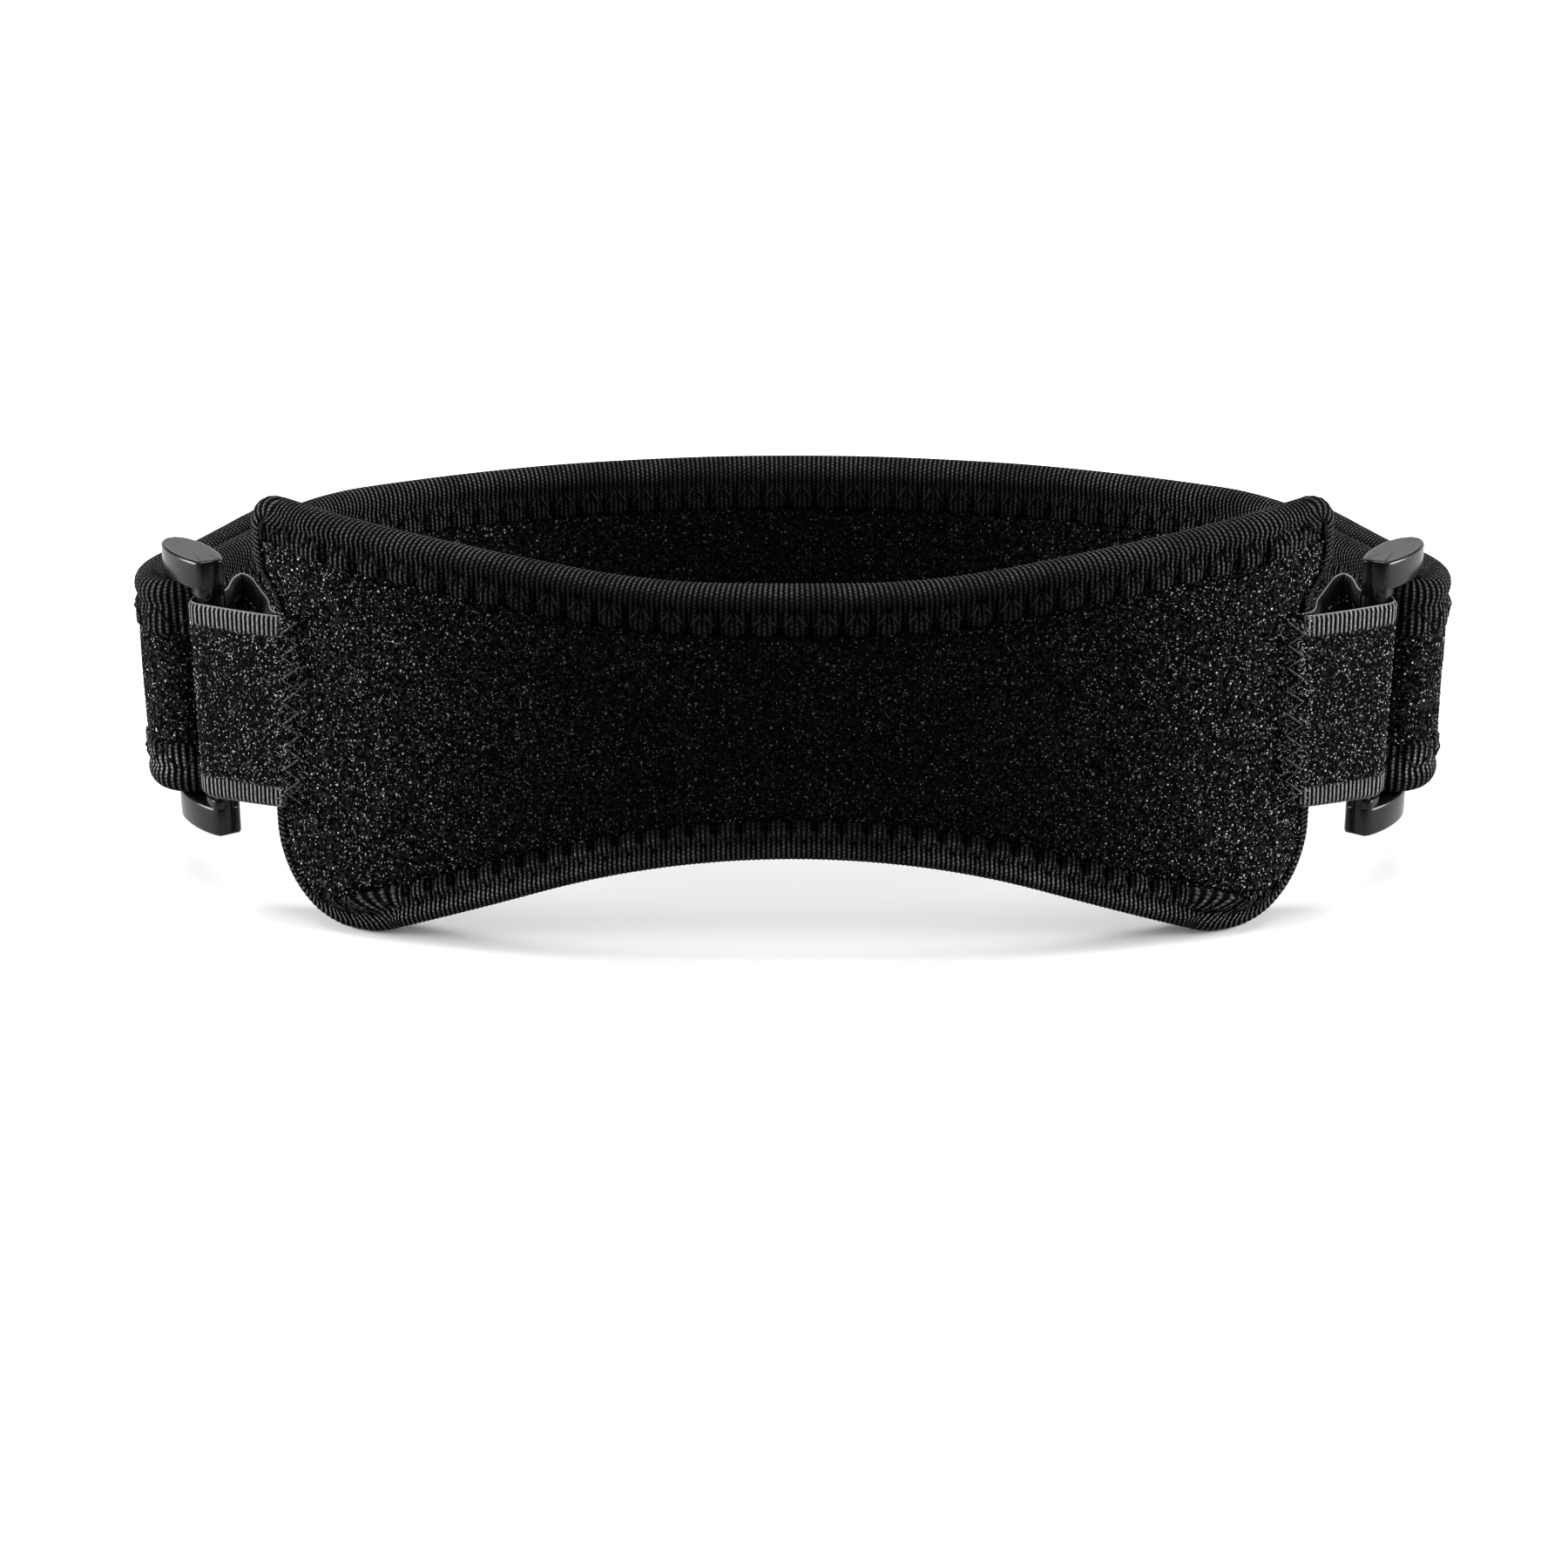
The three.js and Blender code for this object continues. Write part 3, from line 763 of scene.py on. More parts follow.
    def swell(self, flat: Array, face: Face) -> Array:
        """How far the foam stands out from its even thickness.

        The belly comes from the cloth simulation. Slow waves a few centimetres long make the foam
        slightly uneven, and it is pressed flat towards both ends.

        Args:
            flat: Distance from the centre and height.
            face: The face that it is on.

        Returns:
            The extra distance from the middle surface.
        """
        s, z = flat[..., 0], flat[..., 1]
        high = self.top.height(s, self.tape.width)
        low = -self.bottom.height(s, self.tape.width)
        share = np.clip((z - low) / (high - low), 0.0, 1.0)
        wave = 0.10 * np.sin(s / 7.3 + 0.6 * np.sin(z / 5.1)) * np.sin(z / 6.7 + 1.3)
        pressed = smooth((self.end - self.pressed_over - np.abs(s)) / 6)
        if self.blown:
            return self.belly(flat, face) + wave * np.sin(math.pi * share) * pressed
        return (self.dome + wave) * np.sin(math.pi * share) * pressed

    def foam(self, step: float) -> Shell:
        """The foam core, faced with cloth, its border running in under the tape.

        Rows of the outline at growing insets rise from a thin lip to the full thickness by an
        eased step, and a Coons grid closes each face.

        Args:
            step: About how far its points are apart.

        Returns:
            The core as a closed shell in metres.
        """
        width = self.tape.width
        sunk, climb_from, climb_over = 0.6, 1.2, 3.0
        climb = np.linspace(0.0, 1.0, 9)
        insets = width - climb_from + climb_over * climb
        depths = (self.half - sunk) + (CLOTH + sunk) * smooth(climb)
        rising = list(zip(insets, depths, climb))
        section = [
            *[(inset, -n, share) for inset, n, share in rising[::-1]],
            (self.lip_inset, -self.pinched, 0.0),
            (self.lip_inset - 1.0, 0.0, 0.0),
            (self.lip_inset, self.pinched, 0.0),
            *rising,
        ]
        rows, runs = [], []
        for inset, n, share in section:
            flat = self.outline(inset, step)
            face = Face.OUTER if n < 0 else Face.INNER
            rows.append(self.place(flat, n + np.sign(n) * share * self.swell(flat, face)))
            runs.append(np.vstack([flat, flat[:1]]))
        shells = [grid_shell(np.stack(rows), np.stack(runs), wrap_columns=True)]
        flat = self.grid(insets[-1], step)
        for face in Face:
            points = self.place(flat, face.value * (depths[-1] + self.swell(flat, face)))
            shell = grid_shell(points, flat)
            shells.append(shell if face is Face.OUTER else turned(shell))
        return settled(join(shells))

    def stitch_phase(self, outline: Array) -> Array:
        """Counts stitches along the outline, longer ones on the upper edge than on the lower.

        The phase is the running sum of each step's length over the stitch length there, scaled so
        that a whole number of stitches goes round.

        Args:
            outline: Points of the outline, distance from the centre and height.

        Returns:
            The phase at each point and once more at the start.
        """
        steps = np.linalg.norm(np.roll(outline, -1, axis=0) - outline, axis=1)
        upper = smooth((outline[:, 1] + 6) / 12)
        pitch = self.tape.low_stitch + (self.tape.top_stitch - self.tape.low_stitch) * upper
        phase = np.concatenate([[0.0], np.cumsum(steps / pitch)])
        return phase * round(phase[-1]) / phase[-1]

    def relief(self, phase: Array, across: Array | float) -> Array:
        """How far the tape stands out between its stitches.

        Rounded lobes sit between the lower stitches, a soft valley runs along the upper ones and
        small pits mark where the needle went in. Each is a bell curve of the distance to it.

        Args:
            phase: Stitches counted along the edge.
            across: Distance across the tape from the edge.

        Returns:
            The height over the flat tape.
        """
        tape = self.tape
        pitch = (tape.top_stitch + tape.low_stitch) / 2
        near = (phase - np.round(phase)) * pitch
        far = (np.abs(phase - np.round(phase)) - 0.5) * pitch
        lobe = np.exp(-((near / 1.4) ** 4) - ((across - tape.stitch_to + 0.1) / 1.25) ** 4)
        valley = np.exp(-(((across - tape.stitch_from) / 0.75) ** 2))
        slot = np.exp(-((far / 0.5) ** 2)) * smooth((across - tape.stitch_from + 0.4) / 1.2)
        pits = np.exp(-((near / 0.7) ** 2) - ((across - tape.stitch_from) / 0.6) ** 2)
        pits += np.exp(-((far / 0.6) ** 2) - ((across - tape.stitch_to) / 0.6) ** 2)
        return tape.puff * lobe - tape.pull * (0.6 * valley + 0.6 * slot + 0.5 * pits)

    def binding(self, step: float, ribs: float) -> Shell:
        """The tape folded over the edge, puffed between its stitches.

        A cross-section, from the scalloped inner border on the outer face over the rounded rim to
        that on the inner face and back inside, is carried round the outline.

        Args:
            step: About how far its points are apart along the edge.
            ribs: Height of the ribs, zero where the finish alone shows them.

        Returns:
            The tape as a closed shell in metres.
        """
        tape = self.tape
        angles = np.radians(np.linspace(-90, 90, 11))
        flats = np.linspace(tape.width - 0.35, tape.half, 12)
        rim = [(tape.half * (1 - math.cos(a)), tape.half * math.sin(a)) for a in angles[1:-1]]
        face = [(inset, -tape.half) for inset in flats]
        back = [(inset, tape.half) for inset in flats[::-1]]
        curl = [(tape.width, tape.half - 0.75), (tape.width + 0.06, tape.half - 0.3)]
        inside = [
            (tape.width - 0.2, tape.half - tape.wall),
            (tape.wall + 1, tape.half - tape.wall),
            (tape.wall, 0.0),
            (tape.wall + 1, tape.wall - tape.half),
            (tape.width - 0.2, tape.wall - tape.half),
        ]
        section = [(i, -n) for i, n in curl] + face + rim + back + curl[::-1] + inside
        middle_line = self.outline(tape.half, step)
        steps = np.linalg.norm(np.roll(middle_line, -1, axis=0) - middle_line, axis=1)
        length = np.concatenate([[0.0], np.cumsum(steps)])
        rib_count = length * round(length[-1] / tape.rib) / length[-1]
        around = np.vstack([middle_line, middle_line[:1]])
        slant = tape.slant * np.tanh(around[:, 0] / 25) * smooth(around[:, 1] / 12)
        phase = self.stitch_phase(middle_line)
        rows, runs = [], []
        for k, (inset, n) in enumerate(section):
            hidden = k >= len(section) - len(inside)
            flat = self.outline(inset, step)
            count = rib_count + slant * min(max(n / tape.half, -1.0), 1.0)
            border = smooth((inset - tape.stitch_from) / (tape.width - tape.stitch_from))
            if border > 0 and not hidden:
                inwards = (self.outline(inset + 0.4, step) - flat) / 0.4
                scallop = border * tape.lobe * np.cos(2 * math.pi * phase[:-1])
                flat = flat + inwards * scallop[:, None]
            out = np.zeros(len(flat))
            if not hidden and abs(n) > tape.half - 0.01:
                out = self.relief(phase[:-1], inset)
            if not hidden:
                out = out + ribs * np.cos(2 * math.pi * count[:-1])
            edge = 1.0 if inset >= tape.half else n / tape.half
            lift = out * (np.sign(n) if inset >= tape.half else edge)
            if inset < tape.half and not hidden:
                outwards = flat - self.outline(inset + 0.4, step)
                outwards /= np.linalg.norm(outwards, axis=1, keepdims=True)
                flat = flat + outwards * (out * math.sqrt(max(1 - edge**2, 0.0)))[:, None]
            rows.append(self.place(flat, n + lift))
            runs.append(np.stack([count, np.full(len(count), self.spread(k, section))], axis=-1))
        runs.append(runs[0] + [0.0, self.spread(len(section), section)])
        shell = grid_shell(np.stack(rows), np.stack(runs), wrap_rows=True, wrap_columns=True)
        return settled(shell)

    @staticmethod
    def spread(index: int, section: list[tuple[float, float]]) -> float:
        """Length of the cross-section up to one of its points.

        Args:
            index: Which point.
            section: The points of the cross-section.

        Returns:
            The length.
        """
        points = np.array(section + section[:1])
        steps = np.linalg.norm(np.diff(points, axis=0), axis=1)
        return float(steps[:index].sum())

    def stitching(self, face: Face, per_stitch: int) -> Shell:
        """The zigzag thread on one face, lying in the tape's valleys.

        Across the tape it follows a triangle wave of the stitch phase, and it stays half sunk in
        the tape's relief.

        Args:
            face: The face that it lies on.
            per_stitch: Points for each stitch.

        Returns:
            The thread as a closed tube in metres.
        """
        tape = self.tape
        fine = self.outline(tape.half, 0.25)
        phase = self.stitch_phase(fine)
        count = round(phase[-1]) * per_stitch
        wanted = np.arange(count) / per_stitch
        lines = []
        for inset in (tape.stitch_from, tape.stitch_to):
            line = self.outline(inset, 0.25)
            line = np.vstack([line, line[:1]])
            lines.append(np.stack([np.interp(wanted, phase, line[:, k]) for k in (0, 1)], axis=-1))
        share = 2 * np.abs(wanted - np.round(wanted))
        flat = lines[0] + (lines[1] - lines[0]) * share[:, None]
        across = tape.stitch_from + (tape.stitch_to - tape.stitch_from) * share
        dip = 0.18 * np.cos(4 * math.pi * wanted)
        n = face.value * (tape.half + self.relief(wanted, across) + 0.5 * tape.thread - 0.05 - dip)
        path = self.place(flat, n)
        normal = self.curve.at(flat[:, 0] + self.end)[1] * face.value
        normals = np.concatenate([normal, np.zeros((count, 1))], axis=1)
        shell = tube(path, normals, tape.thread, 5, True)
        return settled(shell)

    def inside(self, s: Array, z: Array, inset: float) -> Array:
        """Whether places lie inside the outline at an inset.

        Between the long edges, short of the hollowed end and, beyond the centre of a corner's arc
        both ways, nearer to it than its radius.

        Args:
            s: Distances from the centre.
            z: Heights.
            inset: How far the outline is moved inwards.

        Returns:
            True where a place is inside.
        """
        end_inset = self.end_inset(inset)
        within = (z < self.top.height(s, inset)) & (-z < self.bottom.height(s, inset))
        within &= np.abs(s) < self.end - end_inset - self.hollow.at(z)
        low_end = self.end - self.hollow.draw_depth
        for edge, sign, end in ((self.top, 1, self.end), (self.bottom, -1, low_end)):
            arc = edge.corner(end, inset, end_inset, 2)
            radius = edge.corner_turn(inset)
            past_s, past_z = np.abs(s) - (arc[-1, 0] - radius), sign * z - arc[-1, 1]
            within &= ~((past_s > 0) & (past_z > 0) & (np.hypot(past_s, past_z) > radius))
        return within

    def pile_places(self, rng: np.random.Generator, count: int, face: Face) -> tuple[Array, Array]:
        """Random places on the cloth of one face, clear of the tape and closer towards the ends.

        Args:
            rng: Source of the random numbers.
            count: How many places are wanted.
            face: The face that they are on.

        Returns:
            The places and the directions out of the cloth, in the strap's own millimetres.
        """
        s = rng.uniform(-self.end, self.end, 6 * count)
        z = rng.uniform(-self.bottom.flat * 2.3, self.top.flat * 1.5, 6 * count)
        kept = self.inside(s, z, self.tape.width + 0.15)
        kept &= rng.uniform(0, 1, 6 * count) < 0.3 + 0.7 * (np.abs(s) / self.end) ** 1.3
        flat = np.stack([s[kept], z[kept]], axis=-1)[:count]
        depth = self.half + 0.2 + self.swell(flat, face)
        normal = self.curve.at(flat[:, 0] + self.end)[1] * face.value
        return self.place(flat, face.value * depth), in_plan(normal)


def cloth_under_pressure(points: Array, quads: Array, held: Array, pressure: float) -> Array:
    """Runs Blender's cloth on a sheet for twenty frames, without gravity.

    The sheet is simulated at twenty times its size, where the solver works best, and it leaves
    nothing behind in the scene.

    Args:
        points: The sheet's points in millimetres.
        quads: Its faces, pointing the way that the pressure pushes.
        held: Which points stay where they are.
        pressure: The pressure, in Blender's own unit.

    Returns:
        The points where they have come to.
    """
    scale = 0.02
    mesh = bpy.data.meshes.new("cloth_sheet")
    mesh.from_pydata((points * scale).tolist(), [], quads.tolist())
    sheet = bpy.data.objects.new("cloth_sheet", mesh)
    bpy.context.scene.collection.objects.link(sheet)
    sheet.vertex_groups.new(name="held").add(np.flatnonzero(held).tolist(), 1.0, "REPLACE")
    cloth = sheet.modifiers.new("cloth", "CLOTH")
    cloth.settings.quality = 6
    cloth.settings.vertex_group_mass = "held"
    cloth.settings.use_pressure = True
    cloth.settings.uniform_pressure_force = pressure
    cloth.settings.effector_weights.gravity = 0.0
    cloth.point_cache.frame_start, cloth.point_cache.frame_end = 1, 20
    for frame_number in range(1, 21):
        bpy.context.scene.frame_set(frame_number)
    settled = sheet.evaluated_get(bpy.context.evaluated_depsgraph_get())
    flat = np.empty(points.size)
    settled.to_mesh().vertices.foreach_get("co", flat)
    settled.to_mesh_clear()
    bpy.context.scene.frame_set(1)
    bpy.data.objects.remove(sheet)
    bpy.data.meshes.remove(mesh)
    return flat.reshape(-1, 3) / scale


def loops(rng: np.random.Generator, places: Array, normals: Array) -> Shell:
    """Tiny loops of yarn that stand on a cloth, each an arch of a three-sided tube.

    An arch is a half circle from the cloth, over its normal and back, leaning at random. Every
    arch is worked out at once, as arches by steps by sides.

    Args:
        rng: Source of the random numbers.
        places: Where the loops stand, in the strap's own millimetres.
        normals: The directions out of the cloth there.

    Returns:
        The loops as one shell in metres.
    """
    count = len(places)
    spin = rng.uniform(0, 2 * math.pi, count)
    upright = np.tile([0.0, 0.0, 1.0], (count, 1))
    first = np.cross(normals, upright)
    first /= np.linalg.norm(first, axis=1, keepdims=True)
    second = np.cross(normals, first)
    along = np.cos(spin)[:, None] * first + np.sin(spin)[:, None] * second
    sidewards = np.cross(normals, along)
    lean = rng.uniform(-0.7, 0.7, count)[:, None]
    rise = normals * np.cos(lean) + sidewards * np.sin(lean)
    radius = LOOP_RADIUS * rng.uniform(0.6, 1.35, count)[:, None, None]
    steps = np.radians(np.linspace(-20, 200, 4))
    turn = steps[None, :, None]
    out = np.cos(turn) * along[:, None] + np.sin(turn) * rise[:, None]
    binormal = np.cross(along, rise)[:, None]
    angle = 2 * math.pi * np.arange(3) / 3
    thickness = YARN_RADIUS * rng.uniform(0.7, 1.3, count)[:, None, None, None]
    ring = (
        np.cos(angle)[None, None, :, None] * out[:, :, None]
        + np.sin(angle)[None, None, :, None] * binormal[:, :, None]
    )
    centre = places[:, None] - normals[:, None] * (0.25 * radius)
    points = (centre + radius * out)[:, :, None] + thickness * ring
    rows, sides = len(steps), 3
    j, i = np.meshgrid(np.arange(rows - 1), np.arange(sides), indexing="ij")
    corners = [(j, i), (j, (i + 1) % sides), (j + 1, (i + 1) % sides), (j + 1, i)]
    quad = np.stack([a * sides + b for a, b in corners], axis=-1).reshape(-1, 4)
    last = (rows - 1) * sides
    cap = np.array([[0, 2, 1], [last, last + 1, last + 2]])
    starts = (np.arange(count) * rows * sides)[:, None, None]
    quads = (quad[None] + starts).reshape(-1, 4)
    tris = (cap[None] + starts).reshape(-1, 3)
    shade = rng.uniform(0, 1, (count, 1, 1))
    quad_run = np.broadcast_to(shade[..., None], (count, len(quad), 4, 2)).reshape(-1, 4, 2)
    tri_run = np.broadcast_to(shade[..., None], (count, 2, 3, 2)).reshape(-1, 3, 2)
    return Shell(STANCE.settle(points.reshape(-1, 3)), quads, quad_run, tris, tri_run)


class NodeSheet:
    """The nodes of one material, with short ways to add them and join them."""

    def __init__(self, name: str) -> None:
        """Starts a material with one surface shader.

        Args:
            name: The material's name.
        """
        self.material = bpy.data.materials.new(name)
        self.material.use_nodes = True
        self.tree = self.material.node_tree
        self.tree.nodes.clear()
        self.shader = self.tree.nodes.new("ShaderNodeBsdfPrincipled")
        output = self.tree.nodes.new("ShaderNodeOutputMaterial")
        self.tree.links.new(self.shader.outputs["BSDF"], output.inputs["Surface"])

    def put(self, socket: Socket, value: Socket | float | tuple[float, ...]) -> None:
        """Joins a socket to another one, or sets its value.

        Args:
            socket: The socket.
            value: The other socket, or a constant.
        """
        if isinstance(value, bpy.types.NodeSocket):
            self.tree.links.new(value, socket)
        else:
            socket.default_value = value

    def math(self, operation: str, *values: Socket | float, clamp: bool = False) -> Socket:
        """Adds a Math node.

        Args:
            operation: What it works out.
            values: Its inputs in order.
            clamp: Whether the result is kept between 0 and 1.

        Returns:
            Its result.
        """
        node = self.tree.nodes.new("ShaderNodeMath")
        node.operation = operation
        node.use_clamp = clamp
        for socket, value in zip(node.inputs, values):
            self.put(socket, value)
        return node.outputs[0]

    def ramp(
        self, value: Socket, low: float, high: float, to_low: float = 0.0, to_high: float = 1.0
    ) -> Socket:
        """Maps a range of values smoothly onto another.

        Args:
            value: The value.
            low: Start of its range.
            high: End of its range.
            to_low: What the start becomes.
            to_high: What the end becomes.

        Returns:
            The mapped value.
        """
        node = self.tree.nodes.new("ShaderNodeMapRange")
        node.interpolation_type = "SMOOTHSTEP"
        names = ("Value", "From Min", "From Max", "To Min", "To Max")
        for name, item in zip(names, (value, low, high, to_low, to_high)):
            self.put(node.inputs[name], item)
        return node.outputs["Result"]

    def object_place(self) -> Socket:
        """The place on the object, in metres."""
        return self.tree.nodes.new("ShaderNodeTexCoord").outputs["Object"]

    def run(self) -> tuple[Socket, Socket, Socket]:
        """The flat place on the piece: both numbers together, then each of them."""
        node = self.tree.nodes.new("ShaderNodeUVMap")
        node.uv_map = "Run"
        split = self.tree.nodes.new("ShaderNodeSeparateXYZ")
        self.tree.links.new(node.outputs["UV"], split.inputs[0])
        return node.outputs["UV"], split.outputs[0], split.outputs[1]

    def wear_and_painted_light(self, start: float, stop: float, least: float) -> Socket:
        """A share for painted side light that grows towards both ends of the strap, as the power
        1.5 of a ramp.

        Args:
            start: Distance from the middle, in metres, where it starts to grow.
            stop: Distance from the middle where it is one.
            least: Its value in the middle.

        Returns:
            The share.
        """
        split = self.tree.nodes.new("ShaderNodeSeparateXYZ")
        self.put(split.inputs[0], self.object_place())
        share = self.ramp(self.math("ABSOLUTE", split.outputs[0]), start, stop)
        return self.math("MULTIPLY_ADD", self.math("POWER", share, 1.5), 1.0 - least, least)

    def noise(
        self, place: Socket, scale: float, detail: float = 2.0, roughness: float = 0.5
    ) -> Socket:
        """Adds noise.

        Args:
            place: Where it is read.
            scale: How fine it is.
            detail: How many octaves it has.
            roughness: How strong the finer octaves are.

        Returns:
            The noise, from 0 to 1.
        """
        node = self.tree.nodes.new("ShaderNodeTexNoise")
        self.put(node.inputs["Vector"], place)
        for name, value in (("Scale", scale), ("Detail", detail), ("Roughness", roughness)):
            node.inputs[name].default_value = value
        return node.outputs["Fac"]

    def cells(self, place: Socket, scale: float) -> tuple[Socket, Socket]:
        """Adds scattered cells.

        Args:
            place: Where they are read.
            scale: How many there are to a metre.

        Returns:
            The distance to the nearest centre and a random number for each cell.
        """
        node = self.tree.nodes.new("ShaderNodeTexVoronoi")
        self.put(node.inputs["Vector"], place)
        node.inputs["Scale"].default_value = scale
        split = self.tree.nodes.new("ShaderNodeSeparateColor")
        self.tree.links.new(node.outputs["Color"], split.inputs[0])
        return node.outputs["Distance"], split.outputs[0]

    def specks(self, place: Socket, scale: float, size: float, share: float) -> Socket:
        """Bright dots scattered over a cloth, one in some of the cells.

        Args:
            place: Where they are read.
            scale: Cells to a metre.
            size: Radius of a dot as a share of a cell.
            share: The share of cells that hold a dot.

        Returns:
            How bright the dot is there.
        """
        distance, chance = self.cells(place, scale)
        dot = self.ramp(distance, size * 0.45, size, 1.0, 0.0)
        lit = self.ramp(chance, 1 - share, 1.0 - 0.25 * share, 0.0, 1.0)
        return self.math("MULTIPLY", dot, lit)

    def mix(self, share: Socket, low: Colour, high: Colour) -> Socket:
        """Mixes two colours by a share.

        Args:
            share: From 0 to 1.
            low: Colour at 0.
            high: Colour at 1.

        Returns:
            The colour.
        """
        node = self.tree.nodes.new("ShaderNodeMix")
        node.data_type = "RGBA"
        self.put(node.inputs[0], share)
        node.inputs[6].default_value = (*low, 1.0)
        node.inputs[7].default_value = (*high, 1.0)
        return node.outputs[2]

    def bump(self, height: Socket, distance: float, strength: float = 1.0) -> Socket:
        """Turns heights into a tilted normal.

        Args:
            height: The height from 0 to 1.
            distance: How deep that is, in metres.
            strength: How much of it shows.

        Returns:
            The normal.
        """
        node = self.tree.nodes.new("ShaderNodeBump")
        self.put(node.inputs["Height"], height)
        node.inputs["Distance"].default_value = distance
        node.inputs["Strength"].default_value = strength
        return node.outputs["Normal"]

    def set(self, **values: Socket | float | tuple[float, ...]) -> None:
        """Sets the shader's sockets by name, with underscores for spaces."""
        for name, value in values.items():
            self.put(self.shader.inputs[name.replace("_", " ")], value)


@dataclass(frozen=True)
class LoopCloth:
    """Matt black knitted cloth with short loops that catch the light."""

    name: str = "loop_cloth"
    ground: tuple[float, float, float] = (0.0006, 0.0006, 0.0006)
    raised: tuple[float, float, float] = (0.014, 0.014, 0.0142)
    speck: tuple[float, float, float] = (0.36, 0.36, 0.363)
    speck_share: float = 0.42

    def build(self) -> bpy.types.Material:
        """Felted ground from fine noise, with two sizes of bright specks that also stand out.

        The nap and the specks are painted brighter towards both ends, as painted side light, by an
        eased step of the distance from the middle.
        """
        sheet = NodeSheet(self.name)
        place = sheet.object_place()
        felt = sheet.noise(place, 1900, 3.0, 0.6)
        large = sheet.specks(place, 980, 0.24, self.speck_share)
        small = sheet.specks(place, 1750, 0.3, self.speck_share * 1.6)
        glint = sheet.math("MAXIMUM", large, sheet.math("MULTIPLY", small, 0.45))
        # Painted side light: specks and nap are painted darker in the middle, brighter towards both
        # ends.
        glint = sheet.math("MULTIPLY", glint, sheet.wear_and_painted_light(0.024, 0.078, 0.12))
        felt_and_side_light = sheet.math("MULTIPLY", sheet.ramp(felt, 0.45, 0.7), sheet.wear_and_painted_light(0.015, 0.09, 0.25))
        ground = sheet.mix(felt_and_side_light, self.ground, self.raised)
        blend = sheet.tree.nodes.new("ShaderNodeMix")
        blend.data_type = "RGBA"
        sheet.put(blend.inputs[0], glint)
        sheet.put(blend.inputs[6], ground)
        blend.inputs[7].default_value = (*self.speck, 1.0)
        height = sheet.math("ADD", sheet.math("MULTIPLY", felt, 0.55), glint)
        sheet.set(
            Base_Color=blend.outputs[2],
            Roughness=sheet.ramp(glint, 0.0, 1.0, 0.95, 0.6),
            Specular_IOR_Level=0.004,
            Normal=sheet.bump(height, 0.00025, 0.9),
        )
        return sheet.material


@dataclass(frozen=True)
class LoopYarn:
    """The yarn of the standing loops, greyer and glossier than the cloth."""

    name: str = "loop_yarn"
    dark: tuple[float, float, float] = (0.002, 0.002, 0.002)
    light: tuple[float, float, float] = (0.58, 0.58, 0.585)

    def build(self) -> bpy.types.Material:
        """Each loop has its own grey, read from the random number that its faces carry."""
        sheet = NodeSheet(self.name)
        _, shade, _ = sheet.run()
        twist = sheet.noise(sheet.object_place(), 3500, 1.0)
        twisted = sheet.ramp(twist, 0.2, 0.8, 0.7, 1.0)
        tone = sheet.math("MULTIPLY", sheet.math("POWER", shade, 3.0), twisted)
        # Painted side light: the loops are painted darker in the middle and brighter towards both
        # ends.
        tone = sheet.math("MULTIPLY", tone, sheet.wear_and_painted_light(0.024, 0.078, 0.15))
        sheet.set(
            Base_Color=sheet.mix(tone, self.dark, self.light),
            Roughness=sheet.ramp(twist, 0.2, 0.8, 0.35, 0.55),
            Specular_IOR_Level=0.08,
        )
        return sheet.material


